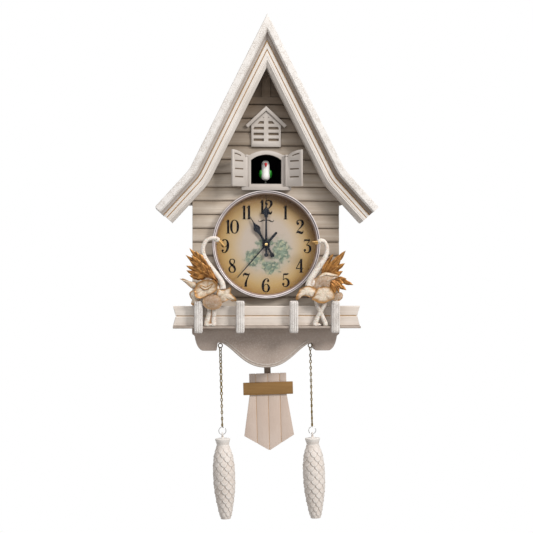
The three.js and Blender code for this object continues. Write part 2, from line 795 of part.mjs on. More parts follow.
// The bird's body swollen by the clearance, to cut what fits round it.
function cuckooClearance() {
  const more = gap + 0.1;
  return join(
    ball([0, cuckooY, cuckooHeadZ], [5.6 + more, 5.6 + more, 6 + more], 10, 7),
    ball([0, cuckooY, cuckooBellyZ], [cuckooBodyRadius + more, cuckooBodyRadius + more, 8.5 + more], 10, 7),
    bar(5.4 + more, [0, cuckooY, cuckooBellyZ], [0, cuckooY, cuckooHeadZ], 10, 5 + more),
  );
}

function cuckooBeak() {
  const z = cuckooHeadZ + 1;
  return cut(bar(2.1, [0, cuckooY - 3, z], [0, cuckooY - 10.5, z - 3], 10, 0.3), cuckooClearance());
}

function cuckooCarriage() {
  const top = carriageTopZ();
  const { z, frontY } = solenoidPlace();
  const perch = bar(1.2, [0, perchY, top - 1], [0, perchY, cuckooBellyZ - 8], 10);
  const carriage = block(-8.4, 8.4, perchY - carriageFront, perchY + carriageBack, top - 5, top);
  const plunger = bar(plungerRadius, [0, perchY + carriageBack - 1, z], [0, frontY + 4, z], 12);
  return cut(join(perch, carriage, plunger), cuckooClearance());
}

function cuckooSolenoid() {
  const { z, frontY } = solenoidPlace();
  const backY = frontY + solenoidLength;
  const coil = bar(solenoidRadius, [0, frontY + 1.5, z - 1], [0, backY - 1.5, z - 1], 20);
  const cheeks = [frontY, backY - 1.6].map((y) =>
    block(-solenoidRadius - 1, solenoidRadius + 1, y, y + 1.6, z - solenoidRadius - 2, z + 1.6),
  );
  const foot = block(
    -solenoidRadius - 1, solenoidRadius + 1, frontY, backY, z - solenoidRadius - 3.5, z - solenoidRadius - 1,
  );
  const underChamber = block(-20, 20, -80, 10, top0(), top0() + 40);
  const bore = bar(plungerRadius + gap, [0, frontY - 1, z], [0, backY + 1, z], 12);
  const stem = block(-6, 6, backY - 1.6, caseBackY - gap, z - 8, z - 2);
  return cut(join(coil, ...cheeks, foot, stem), underChamber, bore);
}

function top0() {
  return chamberBottomZ - gap;
}

// ---- Dial and movement ----

function dialBezel() {
  const inner = bezelRadius - bezelBevel - 1.6;
  const seatRadius = bezelRadius - 2.4;
  return turned(
    [
      [seatRadius, dialBackY], [bezelRadius, dialBackY], [bezelRadius, bezelFrontY + 1.8],
      [bezelRadius - 1.1, bezelFrontY], [bezelRadius - 2.2, bezelFrontY + 0.4],
      [inner, glassFrontY - gap], [seatRadius, glassFrontY - gap], [seatRadius, dialBackY],
    ],
    56,
  );
}

function dialPlate() {
  const radius = bezelRadius - 2.4 - gap;
  return turned(
    [
      [neckRadius + gap, dialBackY], [radius, dialBackY], [radius, dialFaceY], [neckRadius + gap, dialFaceY],
      [neckRadius + gap, dialBackY],
    ],
    56,
  );
}

function dialGlass() {
  const radius = bezelRadius - 2.4 - gap;
  return turned([[0, glassBackY], [radius, glassBackY], [radius, glassFrontY], [0, glassFrontY]], 56);
}

// A spade hand pointing up, with a round counterweight below its hub.
function spadeHand(length, boss, hole, spadeAt, spadeWidth, tail) {
  const right = [
    [0.35, length], [0.8, spadeAt + 9], [spadeWidth, spadeAt + 2], [spadeWidth * 0.9, spadeAt - 1.5],
    [spadeWidth * 0.35, spadeAt - 4], [0.6, spadeAt - 7], [0.9, boss * 0.8], [0.9, -boss * 0.8], [0.6, -tail],
  ];
  const stem = plate([...right, ...mirrored(right).reverse()], -handThickness, 0);
  const hub = bar(boss, [0, 0, 0], [0, -handThickness, 0], 20);
  const weight = bar(2.2, [0, 0, -tail], [0, -handThickness, -tail], 16);
  return cut(join(stem, hub, weight), bar(hole, [0, 1, 0], [0, -handThickness - 1, 0], 20));
}

function secondHand() {
  const needle = plate([[0.25, secondHandLength], [0.5, 0], [-0.5, 0], [-0.25, secondHandLength]], -handThickness, 0);
  const tail = plate([[0.6, 0], [1.1, -19], [-1.1, -19], [-0.6, 0]], -handThickness, 0);
  const cap = bar(2.7, [0, 0, 0], [0, -handThickness, 0], 20);
  const arbor = bar(secondsArborRadius, [0, -0.1, 0], [0, movementFrontY + 8 - secondHandY, 0], 12);
  return join(needle, tail, cap, arbor);
}

function sleeve(outer, bore, frontY, backY) {
  return turned([[bore, backY], [outer, backY], [outer, frontY], [bore, frontY], [bore, backY]], 20);
}

function movementNut() {
  const nut = new THREE.CylinderGeometry(6.6, 6.6, 2, 6);
  nut.translate(0, dialFaceY - gap - 1, 0);
  return cut(solid(nut), bar(neckRadius + gap, [0, dialFaceY - 4, 0], [0, dialFaceY, 0], 20));
}

function movementCase() {
  const half = movementSize / 2;
  const body = block(-half, half, movementFrontY, movementBackY, -half, half);
  const neck = bar(neckRadius, [0, movementFrontY + 1, 0], [0, dialFaceY - gap - 2.3, 0], 20);
  const bore = bar(pipeRadius + gap, [0, dialFaceY - 9, 0], [0, movementFrontY + 9, 0], 20);
  const bayZ = batteryBayZ();
  const bay = join(
    bar(batteryRadius + 0.5, [-batteryLength / 2 - 0.6, batteryY(), bayZ], [batteryLength / 2 + 0.6, batteryY(), bayZ], 20),
    block(
      -batteryLength / 2 - 0.6, batteryLength / 2 + 0.6, batteryY(), movementBackY + 1,
      bayZ - batteryRadius - 0.5, bayZ + batteryRadius + 0.5,
    ),
  );
  const knobHole = bar(1.2 + gap, [0, movementBackY + 1, knobZ()], [0, movementBackY - 4, knobZ()], 12);
  return cut(join(body, neck), bore, bay, knobHole);
}

function batteryY() {
  return movementBackY - batteryRadius - 0.2;
}

function batteryBayZ() {
  return movementSize / 2 - batteryRadius - 2.5;
}

function knobZ() {
  return -3;
}

function movementBattery() {
  const z = batteryBayZ();
  const end = batteryLength / 2;
  return join(
    bar(batteryRadius, [-end, batteryY(), z], [end - 1.5, batteryY(), z], 20),
    bar(2.6, [end - 2, batteryY(), z], [end, batteryY(), z], 12),
  );
}

function setKnob() {
  const face = movementBackY + gap;
  const grips = [];
  for (let i = 0; i < 12; i++) {
    const angle = (i / 12) * 2 * Math.PI;
    const [x, z] = [Math.cos(angle) * knobRadius, Math.sin(angle) * knobRadius];
    grips.push(bar(1, [x, face - 1, z], [x, face + 6, z], 8));
  }
  const knob = cut(bar(knobRadius, [0, face, 0], [0, face + 5, 0], 24), ...grips);
  return join(knob, bar(1.2, [0, face + 1, 0], [0, face - 4, 0], 12));
}

// ---- Pendulum ----

function pendulumDrive() {
  const frontY = movementBackY + gap;
  const backY = pendulumY - 3;
  const box = block(-22, 22, frontY, backY, pivotZ - 7, pivotZ + 5.5);
  const pin = bar(pivotPinRadius, [0, backY - 1, pivotZ], [0, pendulumY + rodThickness + 1.5, pivotZ], 16);
  const head = bar(2.6, [0, pendulumY + rodThickness + 0.6, pivotZ], [0, pendulumY + rodThickness + 1.6, pivotZ], 16);
  const collar = bar(2.6, [0, backY - 1, pivotZ], [0, pendulumY - 0.6, pivotZ], 16);
  return join(box, pin, head, collar);
}

// The pendulum's pieces are in its own frame, with the pivot at the origin.
function pendulumRod() {
  const half = rodWidth / 2;
  const strip = block(-half, half, 0, rodThickness, -boardTop - 34, 0);
  const eye = bar(half, [0, 0, 0], [0, rodThickness, 0], 20);
  const hole = bar(pivotPinRadius + gap, [0, -1, 0], [0, rodThickness + 1, 0], 16);
  return cut(join(strip, eye), hole);
}

function pendulumBoard() {
  const frontY = -gap - boardThickness;
  const right = [
    [boardTopHalfWidth, -boardTop], [boardTopHalfWidth, -bandTop - bandHeight],
    [boardShoulderHalfWidth, -boardShoulder],
  ];
  const board = plate([...right, [0, -boardTip], ...mirrored(right).reverse()], frontY, -gap);
  const grooves = [-17.6, 0, 17.4].map((x) => {
    const groove = block(x - 0.5, x + 0.5, frontY - 1, frontY + 0.7, -boardTip, -boardTop + 1);
    return groove;
  });
  return cut(board, ...grooves);
}

function pendulumBand() {
  const backY = -2 * gap - boardThickness;
  return block(-bandHalfWidth, bandHalfWidth, backY - bandThickness, backY, -bandTop - bandHeight, -bandTop);
}

// ---- Back fittings ----

function speaker() {
  const y = caseBackY - gap;
  const body = turned(
    [
      [0, y - 9], [12, y - 9], [12, y - 16], [14, y - 16], [14, y - 8], [speakerRadius, y - 3],
      [speakerRadius, y], [speakerRadius - 3, y], [speakerRadius - 4, y - 1.5], [10, y - 6], [8, y - 4], [0, y - 3],
    ],
    20,
  );
  return body.translate(speakerX, 0, speakerZ);
}

function chimeModule() {
  const y = caseBackY - gap;
  const halfWidth = doorWidth / 2 + 2;
  const body = block(moduleX - halfWidth, moduleX + halfWidth, y - moduleDepth, y, moduleZ - 24, moduleZ + 24);
  const bay = block(
    moduleX - doorWidth / 2 + 2, moduleX + doorWidth / 2 - 2, y - moduleDepth + 4, y + 1, moduleZ - 16, moduleZ + 16,
  );
  const upper = block(moduleX - 14, moduleX + 14, y - 8, y, moduleZ + 23, switchZ + 6);
  const track = block(moduleX - 7, moduleX + 11, y - 3, y + 1, switchZ - 2.5 - gap, switchZ + 2.5 + gap);
  return cut(join(body, upper), bay, track);
}

function batteryDoor() {
  const door = block(
    moduleX - doorWidth / 2, moduleX + doorWidth / 2, -gap - doorThickness, -gap,
    moduleZ - doorHeight / 2, moduleZ + doorHeight / 2,
  );
  const grips = [0, 1, 2].map((i) => {
    const z = moduleZ + 8 + i * 3;
    return block(moduleX - 6, moduleX + 6, -gap - 0.5, 1, z, z + 1.2);
  });
  return cut(door, ...grips);
}

function chimeSwitch() {
  const y = caseBackY - gap;
  const slider = block(moduleX - 6, moduleX + 6, y - 2.5, y - gap, switchZ - 2.5, switchZ + 2.5);
  const nub = block(moduleX - 4, moduleX + 4, y - 1, -gap, switchZ - 2, switchZ + 2);
  return join(slider, nub);
}

// ---- Balcony and base ----

function balconyDeck() {
  return block(-deckHalfWidth, deckHalfWidth, deckFrontY, dialBackY, deckBottomZ, deckTopZ);
}

// The front plank of the balcony: two boards with hollowed ends.
function balconyRail() {
  const bottomZ = deckTopZ + gap;
  const midZ = (railTopZ + bottomZ) / 2;
  const backY = railFrontY + railThickness;
  const right = [
    [deckHalfWidth, railTopZ], [deckHalfWidth - 2.2, railTopZ - 5], [deckHalfWidth - 3.4, midZ],
    [deckHalfWidth - 2.4, bottomZ + 5], [deckHalfWidth - 0.6, bottomZ],
  ];
  const plank = plate([...right, ...mirrored(right).reverse()], railFrontY, backY);
  const groove = block(
    -deckHalfWidth, deckHalfWidth, railFrontY - 1, railFrontY + railGroove, midZ - railGroove / 2, midZ + railGroove / 2,
  );
  return cut(plank, groove);
}

function railPost(x) {
  const backY = railFrontY - gap;
  const half = postWidth / 2;
  const section = [
    [-half, backY], [-half, postFrontY + 3], [-half + 1.5, postFrontY + 0.8], [-half + 3.5, postFrontY],
    [half - 3.5, postFrontY], [half - 1.5, postFrontY + 0.8], [half, postFrontY + 3], [half, backY],
  ];
  const shape = new THREE.Shape(section.map(([sx, sy]) => new THREE.Vector2(sx, sy)));
  const column = new THREE.ExtrudeGeometry(shape, { depth: postTopZ - postBottomZ, bevelEnabled: false });
  column.translate(x, 0, postBottomZ);
  const notch = block(x - postWidth, x + postWidth, deckFrontY - gap, 0, deckBottomZ - gap, deckTopZ + gap);
  const shaved = [postTopZ, postBottomZ].map((z) => {
    const inward = Math.sign(postBottomZ + 1 - z) * 3;
    return runAlongX([[postFrontY - 1, z - inward], [postFrontY - 1, z + inward], [postFrontY + 3, z - inward]],
      x - postWidth, x + postWidth);
  });
  return cut(solid(column), notch, ...shaved);
}

function baseConsole() {
  const outline = baseOutline();
  const body = plate(outline, baseFrontY, caseBackY);
  const hollow = drawnIn(plate(outline, baseFrontY + baseWall, 1), baseWall);
  const opening = block(
    -houseHalfWidth + 4, houseHalfWidth - 4, baseFrontY + baseWall, 1, baseTopZ - baseWall - 2, baseTopZ + 1,
  );
  const panel = drawnIn(plate(outline, baseFrontY - 1, baseFrontY + 1.2), 4.6);
  const slot = block(
    -slotHalfWidth, slotHalfWidth, pendulumY - slotHalfDepth, pendulumY + slotHalfDepth, baseTipZ - 1, baseTipZ + 14,
  );
  const hookHoles = [-1, 1].map((side) => {
    const x = side * baseNotchX;
    return bar(hookWire + gap, [x, chainY, baseNotchZ - 3], [x, chainY, baseNotchZ + 20], 10);
  });
  const pads = [-1, 1].map((side) => {
    const x = side * baseNotchX;
    return block(x - 3, x + 3, chainY - 4, chainY + 4, baseNotchZ - 0.6, baseNotchZ + 7);
  });
  return cut(join(cut(body, hollow, opening, panel, slot), ...pads), ...hookHoles);
}

// ---- Swans ----

const swanY = -99;

const leftSwan = {
  neck: [
    [-71.5, -183.6], [-79.5, -182.9], [-86, -186.7], [-89.8, -193], [-90.6, -200.5], [-88.5, -209],
    [-82.5, -217.8], [-74.5, -226], [-68, -234.5], [-64.6, -243.5], [-64.4, -254],
  ],
  head: [-72.6, -184],
  beakTip: [-61.5, -188.5],
  body: [-75, -255, 19, 12],
  skirt: [
    [-110, -246], [-96, -241], [-80, -243], [-60, -251], [-50, -253], [-44.8, -268], [-52, -266],
    [-60, -270], [-68, -281], [-82, -281.5], [-92, -268], [-103, -266], [-105, -254],
  ],
  legs: [[[-80, -276], [-81.5, -291], [-85, -305]], [[-71.7, -276], [-72.7, -291], [-75, -305]]],
  foot: [-88.5, -71.5],
  wing: [
    [-67.5, -244], [-69.6, -234], [-84.2, -219.6], [-97, -206], [-101.4, -200.3], [-102.6, -207],
    [-110.8, -195.6], [-109.5, -209], [-115.4, -206], [-111, -217], [-114.3, -221], [-109, -225],
    [-114.9, -227.2], [-106, -232], [-109.6, -235.6], [-100, -240], [-84, -244],
  ],
};

const rightSwan = {
  neck: [
    [74.5, -186.2], [79.8, -187.5], [84.2, -193], [84.7, -200], [81.6, -207.5], [76.5, -215],
    [69.8, -224], [63.5, -233], [59, -242], [57, -252],
  ],
  head: [75.2, -186.5],
  beakTip: [63.7, -187.2],
  body: [78, -250, 18, 15],
  skirt: [
    [42.4, -256], [49, -251.8], [61, -250], [80, -250], [92, -250], [96, -262], [106, -262], [103, -269.5],
    [95, -268], [84, -274], [70, -272], [64, -264], [54, -261.5], [43, -266],
  ],
  legs: [[[73, -268], [71, -286], [66, -304.5]], [[78.5, -268], [77.7, -286], [84.5, -304.5]]],
  foot: [63, 87.5],
  wing: [
    [72, -240], [81, -230], [92, -222], [92.5, -212], [94.4, -203.9], [99, -212], [111, -199.2], [107, -213],
    [110.5, -217.5], [105, -224], [107.9, -228.8], [102, -233], [113.2, -239.3], [108, -243], [122.5, -248.7],
    [112, -251], [113.2, -256.5], [100, -258], [94, -250],
  ],
};

function swan({ neck, head, beakTip, body, skirt, legs, foot }) {
  const [bodyX, bodyZ, bodyRx, bodyRz] = body;
  const flat = ([x, z]) => [x, swanY, z];
  const parts = [
    ball([bodyX, swanY + 4, bodyZ], [bodyRx, 14, bodyRz]),
    tube(neck.map(flat), 4.2),
    ball(flat(head), [5, 4.4, 4.2]),
    bar(2.4, flat(head), flat(beakTip), 8, 0.8),
    plate(skirt, swanY - 7, swanY + 8),
    block(foot[0], foot[1], deckFrontY, railFrontY - 2 * gap, deckTopZ + gap, deckTopZ + 3),
  ];
  const legY = (deckFrontY + railFrontY) / 2 - 0.3;
  for (const leg of legs) {
    for (let i = 0; i < leg.length - 1; i++) {
      const y = (z) => (z > -280 ? swanY + 1 : legY);
      parts.push(
        bar(2.6, [leg[i][0], y(leg[i][1]), leg[i][1]], [leg[i + 1][0], y(leg[i + 1][1]), leg[i + 1][1]], 8),
      );
    }
  }
  const behindRail = block(-200, 200, railFrontY - gap, 0, -400, railTopZ + gap);
  const wallSide = block(-200, 200, bezelFrontY - gap, 0, -400, 0);
  return cut(join(...parts), behindRail, wallSide, ...postOffsets.map(postClearance));
}

function postClearance(x) {
  const half = postWidth / 2 + gap;
  return block(x - half, x + half, postFrontY - gap, 0, postBottomZ, postTopZ + gap);
}

function swanWing(figure) {
  const wing = plate(figure.wing, swanY - 4, swanY + 4);
  const clear = join(
    tube(figure.neck.map(([x, z]) => [x, swanY, z]), 4.2 + gap + 0.2),
    ball([figure.body[0], swanY + 4, figure.body[1]], [figure.body[2] + gap, 14 + gap, figure.body[3] + gap]),
    plate(offsetLine(figure.skirt, -gap - 0.1, true), swanY - 8, swanY + 9),
  );
  return cut(wing, clear);
}

// ---- Chains and weights ----

function chainHook(side) {
  const x = side * baseNotchX;
  const eye = new THREE.TorusGeometry(hookRadius, hookWire, 5, 12);
  eye.rotateX(Math.PI / 2);
  eye.translate(x, chainY, baseNotchZ - 1.2 - hookRadius - hookWire);
  const shank = bar(hookWire, [x, chainY, baseNotchZ - 1.4], [x, chainY, baseNotchZ + 6.4], 10);
  return join(solid(eye), shank);
}

// The chain hangs from the origin of its own frame.
function chain() {
  return bar(chainRadius, [0, 0, -hookWire - gap], [0, 0, -chainLength + gap], 8);
}

function weightRing() {
  const ring = new THREE.TorusGeometry(ringRadius, ringWire, 5, 16);
  ring.rotateX(Math.PI / 2);
  ring.translate(0, 0, -chainLength - ringRadius - ringWire);
  return solid(ring);
}

// A pine-cone weight that hangs from the origin of its own frame by an eyelet.
function pineWeight() {
  const neckZ = -6.5;
  const cupZ = neckZ - cupHeight;
  const bodyLength = weightLength + cupZ;
  const profile = [
    [0, neckZ + 0.5], [3, neckZ + 0.3], [cupRadius * 0.9, neckZ], [cupRadius, neckZ - 1],
    [cupRadius * 0.83, cupZ + 2], [cupRadius * 0.8, cupZ],
  ];
  const girths = [[0.04, 0.66], [0.15, 0.87], [0.3, 0.98], [0.42, 1], [0.58, 0.96], [0.75, 0.79], [0.9, 0.56], [0.98, 0.43]];
  for (const [along, girth] of girths) profile.push([weightRadius * girth, cupZ - bodyLength * along]);
  profile.push([weightRadius * 0.34, -weightLength], [0, -weightLength]);
  const eyelet = join(
    block(-1.6, 1.6, -2.6, 2.6, neckZ - 1, -0.6),
    bar(2.6, [-1.6, 0, -0.6], [1.6, 0, -0.6], 12),
  );
  const hole = bar(1.5, [-4, 0, -0.6], [4, 0, -0.6], 12);
  return join(turnedUpright(profile, 14), cut(eyelet, hole));
}

// ---- Assembly ----

const clock = new THREE.Group();

piece("front_wall", frontWall(), materials.siding, clock);
piece("case_shell", caseShell(), materials.siding, clock);
piece("back_cover", backCover(), materials.plastic, clock);
piece("roof_shell", roofShell(), materials.trim, clock);
piece("roof_trim", roofTrim(), materials.trim, clock);
piece("gable_vent", gableVent(), materials.trim, clock);
piece("vent_roof", ventRoof(), materials.trim, clock);
piece("window_frame", windowFrame(), materials.trim, clock);
bossPlaces.forEach((place, i) => piece(`cover_screw_${i + 1}`, coverScrew(place), materials.steel, clock));

for (const [name, side] of [["left", -1], ["right", 1]]) {
  const hinge = new THREE.Group();
  hinge.position.set(side * shutterAxisX, shutterAxisY, 0);
  hinge.rotation.z = -side * shutterOpen * degree;
  clock.add(hinge);
  piece(`shutter_${name}`, shutter(side), materials.trim, hinge);
  piece(`shutter_pin_${name}`, shutterPinRod(side), materials.steel, clock);
}

piece("bird_chamber", birdChamber(), materials.black, clock);
piece("cuckoo_body", cuckooBody(), materials.white, clock);
piece("cuckoo_wings", cuckooWings(), materials.green, clock);
piece("cuckoo_beak", cuckooBeak(), materials.red, clock);
piece("cuckoo_carriage", cuckooCarriage(), materials.plastic, clock);
piece("cuckoo_solenoid", cuckooSolenoid(), materials.plastic, clock);

const dial = new THREE.Group();
dial.position.z = dialZ;
clock.add(dial);
piece("dial_bezel", dialBezel(), materials.trim, dial);
piece("dial_plate", dialPlate(), materials.face, dial);
piece("dial_glass", dialGlass(), materials.glass, dial);
piece("movement_nut", movementNut(), materials.brass, dial);
piece("movement_case", movementCase(), materials.plastic, dial);
piece("movement_battery", movementBattery(), materials.battery, dial);
const knob = piece("set_knob", setKnob(), materials.white, dial);
knob.position.z = knobZ();

const hourPipeFrontY = hourHandY - handThickness - 0.2;
const arborFrontY = minuteHandY - handThickness - 0.2;
piece("hour_pipe", sleeve(pipeRadius, arborRadius + gap, hourPipeFrontY, movementFrontY + 5), materials.brass, dial);
piece("minute_arbor", sleeve(arborRadius, secondsArborRadius + gap, arborFrontY, movementFrontY + 6.5), materials.brass, dial);

const hourHand = piece(
  "hour_hand", spadeHand(hourHandLength, 4.6, pipeRadius + gap, 27, 4.2, 17), materials.hands, dial,
);
hourHand.position.y = hourHandY;
hourHand.rotation.y = hourAngle * degree;
const minuteHand = piece(
  "minute_hand", spadeHand(minuteHandLength, 4, arborRadius + gap, 44, 3.6, 16), materials.hands, dial,
);
minuteHand.position.y = minuteHandY;
minuteHand.rotation.y = minuteAngle * degree;
const sweepHand = piece("second_hand", secondHand(), materials.hands, dial);
sweepHand.position.y = secondHandY;
sweepHand.rotation.y = secondAngle * degree;

piece("pendulum_drive", pendulumDrive(), materials.plastic, clock);
const pendulum = new THREE.Group();
pendulum.position.set(0, pendulumY, pivotZ);
pendulum.rotation.y = -pendulumLean * degree;
clock.add(pendulum);
piece("pendulum_rod", pendulumRod(), materials.bronze, pendulum);
piece("pendulum_board", pendulumBoard(), materials.board, pendulum);
piece("pendulum_band", pendulumBand(), materials.bronze, pendulum);

piece("speaker", speaker(), materials.black, clock);
piece("chime_module", chimeModule(), materials.plastic, clock);
piece("battery_door", batteryDoor(), materials.plastic, clock);
piece("chime_switch", chimeSwitch(), materials.white, clock);

piece("balcony_deck", balconyDeck(), materials.trim, clock);
piece("balcony_rail", balconyRail(), materials.trim, clock);
postOffsets.forEach((x, i) => piece(`rail_post_${i + 1}`, railPost(x), materials.post, clock));
piece("base_console", baseConsole(), materials.base, clock);

piece("swan_left", swan(leftSwan), materials.resin, clock);
piece("swan_left_wing", swanWing(leftSwan), materials.gold, clock);
piece("swan_right", swan(rightSwan), materials.resin, clock);
piece("swan_right_wing", swanWing(rightSwan), materials.gold, clock);

for (const [name, side] of [["left", -1], ["right", 1]]) {
  piece(`chain_hook_${name}`, chainHook(side), materials.brass, clock);
  const hanging = new THREE.Group();
  hanging.position.set(side * baseNotchX, chainY, baseNotchZ - 1.2 - 2 * hookRadius - hookWire);
  hanging.rotation.y = -chainLean * degree;
  clock.add(hanging);
  piece(`chain_${name}`, chain(), materials.brass, hanging);
  piece(`weight_ring_${name}`, weightRing(), materials.steel, hanging);
  const swinging = new THREE.Group();
  swinging.position.z = -chainLength - 2 * ringRadius - ringWire + 0.6;
  swinging.rotation.y = -weightLean * degree;
  hanging.add(swinging);
  piece(`pine_weight_${name}`, pineWeight(), materials.chainless, swinging);
}

export default clock;
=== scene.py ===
import math
import random

import bmesh
import bpy
import numpy as np
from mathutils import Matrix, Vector


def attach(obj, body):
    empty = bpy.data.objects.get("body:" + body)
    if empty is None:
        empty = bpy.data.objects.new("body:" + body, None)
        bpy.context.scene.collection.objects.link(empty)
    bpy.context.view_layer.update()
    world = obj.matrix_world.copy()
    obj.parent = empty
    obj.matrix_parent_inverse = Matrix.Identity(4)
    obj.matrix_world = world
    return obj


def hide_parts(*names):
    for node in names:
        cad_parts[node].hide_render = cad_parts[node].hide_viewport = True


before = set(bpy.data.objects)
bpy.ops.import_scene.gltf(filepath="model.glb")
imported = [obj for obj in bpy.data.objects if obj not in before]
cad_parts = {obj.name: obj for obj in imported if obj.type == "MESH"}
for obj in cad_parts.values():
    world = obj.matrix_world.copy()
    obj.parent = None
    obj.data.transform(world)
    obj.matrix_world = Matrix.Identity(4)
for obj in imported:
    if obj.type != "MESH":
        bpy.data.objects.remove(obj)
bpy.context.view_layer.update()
print("frame loaded:", len(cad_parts), "nodes")

mm = 0.001

# ---------- camera, light and surroundings ----------

viewSet = {
    "distance": 2.2,  # camera to the wall, metres
    "side": -0.1158,
    "height": -0.2220,
    "turn": 3.13,  # degrees to the right
    "lens": 100.6,
    "keyPower": 48,
    "fillPower": 6,
    "topPower": 14,
    "ambient": 0.27,
}


def makeCamera():
    data = bpy.data.cameras.new("camera")
    data.lens = viewSet["lens"]
    data.sensor_width = 36
    camera = bpy.data.objects.new("camera", data)
    bpy.context.collection.objects.link(camera)
    camera.location = (viewSet["side"], -viewSet["distance"], viewSet["height"])
    camera.rotation_euler = (math.radians(90), 0, math.radians(-viewSet["turn"]))
    bpy.context.scene.camera = camera


def makeLamp(name, place, aim, size, power, colour):
    data = bpy.data.lights.new(name, "AREA")
    data.size = size
    data.energy = power
    data.color = colour
    lamp = bpy.data.objects.new(name, data)
    bpy.context.collection.objects.link(lamp)
    lamp.location = place
    lamp.rotation_euler = (Vector(aim) - Vector(place)).to_track_quat("-Z", "Y").to_euler()


def makeSurroundings():
    makeLamp("keyLamp", (1.5, -1.55, 1.0), (0, -0.05, -0.2), 0.7, viewSet["keyPower"], (1, 0.985, 0.96))
    makeLamp("fillLamp", (-1.3, -2.0, -0.1), (0, -0.05, -0.25), 1.2, viewSet["fillPower"], (0.97, 0.985, 1))
    makeLamp("topLamp", (-0.2, -0.9, 1.3), (0, -0.05, -0.1), 0.8, viewSet["topPower"], (1, 1, 1))
    world = bpy.data.worlds.new("studio")
    bpy.context.scene.world = world
    world.use_nodes = True
    tree = world.node_tree
    tree.nodes.clear()
    out = tree.nodes.new("ShaderNodeOutputWorld")
    mix = tree.nodes.new("ShaderNodeMixShader")
    room = tree.nodes.new("ShaderNodeBackground")
    white = tree.nodes.new("ShaderNodeBackground")
    path = tree.nodes.new("ShaderNodeLightPath")
    room.inputs["Color"].default_value = (1, 0.995, 0.985, 1)
    room.inputs["Strength"].default_value = viewSet["ambient"]
    white.inputs["Color"].default_value = (1, 1, 1, 1)
    white.inputs["Strength"].default_value = 1
    seen = calc(tree, "MAXIMUM", path.outputs["Is Camera Ray"], path.outputs["Is Glossy Ray"])
    seen = calc(tree, "MAXIMUM", seen, path.outputs["Is Transmission Ray"])
    tree.links.new(seen, mix.inputs[0])
    tree.links.new(room.outputs[0], mix.inputs[1])
    tree.links.new(white.outputs[0], mix.inputs[2])
    tree.links.new(mix.outputs[0], out.inputs[0])
    bpy.context.scene.view_settings.view_transform = "Standard"


def makeFloor():
    mesh = bpy.data.meshes.new("floor")
    mesh.from_pydata([(-4, -4, -1.5), (4, -4, -1.5), (4, 1.5, -1.5), (-4, 1.5, -1.5)], [], [(0, 1, 2, 3)])
    floor = bpy.data.objects.new("floor", mesh)
    bpy.context.collection.objects.link(floor)
    mat = bpy.data.materials.new("paleFloor")
    mat.use_nodes = True
    tree = mat.node_tree
    shader = tree.nodes["Principled BSDF"]
    grain = put(tree, "ShaderNodeTexNoise", {"Scale": 30.0, "Detail": 3.0})
    tree.links.new(ramp(tree, grain.outputs["Fac"], [(0.3, (0.82, 0.82, 0.81)), (0.7, (0.86, 0.86, 0.85))]),
        shader.inputs["Base Color"])
    shader.inputs["Roughness"].default_value = 0.8
    mesh.materials.append(mat)


# ---------- small node helpers ----------


def feed(tree, socket, value):
    # links a socket, or sets a plain value
    if isinstance(value, bpy.types.NodeSocket):
        tree.links.new(value, socket)
    else:
        socket.default_value = value


def put(tree, kind, values=None, **settings):
    node = tree.nodes.new(kind)
    for key, value in settings.items():
        setattr(node, key, value)
    for key, value in (values or {}).items():
        feed(tree, node.inputs[key], value)
    return node


def calc(tree, operation, *values, clamp=False):
    node = tree.nodes.new("ShaderNodeMath")
    node.operation = operation
    node.use_clamp = clamp
    for i, value in enumerate(values):
        feed(tree, node.inputs[i], value)
    return node.outputs[0]


def noiseAt(tree, place, scale, detail):
    return put(tree, "ShaderNodeTexNoise", {"Vector": place, "Scale": scale, "Detail": detail})


def spread(tree, value, low, high, outLow=0.0, outHigh=1.0):
    node = put(tree, "ShaderNodeMapRange", {"Value": value, "From Min": low, "From Max": high,
        "To Min": outLow, "To Max": outHigh})
    return node.outputs[0]


def ramp(tree, value, stops):
    node = put(tree, "ShaderNodeValToRGB", {"Fac": value})
    line = node.color_ramp
    while len(line.elements) < len(stops):
        line.elements.new(0.5)
    for element, (at, colour) in zip(line.elements, stops):
        element.position = at
        element.color = (*colour, 1)
    return node.outputs[0]


def blendColour(tree, share, first, second, mode="MIX"):
    node = tree.nodes.new("ShaderNodeMix")
    node.data_type = "RGBA"
    node.blend_type = mode
    for index, value in ((0, share), (6, first), (7, second)):
        if isinstance(value, bpy.types.NodeSocket):
            tree.links.new(value, node.inputs[index])
        elif index == 0:
            node.inputs[index].default_value = value
        else:
            node.inputs[index].default_value = (*value, 1)
    return node.outputs[2]


def newGroup(name, inputs, outputs):
    tree = bpy.data.node_groups.new(name, "ShaderNodeTree")
    for label, kind, value in inputs:
        socket = tree.interface.new_socket(label, in_out="INPUT", socket_type=kind)
        if value is not None:
            socket.default_value = value
    for label, kind in outputs:
        tree.interface.new_socket(label, in_out="OUTPUT", socket_type=kind)
    return tree, tree.nodes.new("NodeGroupInput").outputs, tree.nodes.new("NodeGroupOutput").inputs


def useGroup(tree, group, values):
    node = tree.nodes.new("ShaderNodeGroup")
    node.node_tree = group
    for key, value in values.items():
        feed(tree, node.inputs[key], value)
    return node.outputs


# ---------- shared finishes ----------

number = "NodeSocketFloat"
vector = "NodeSocketVector"


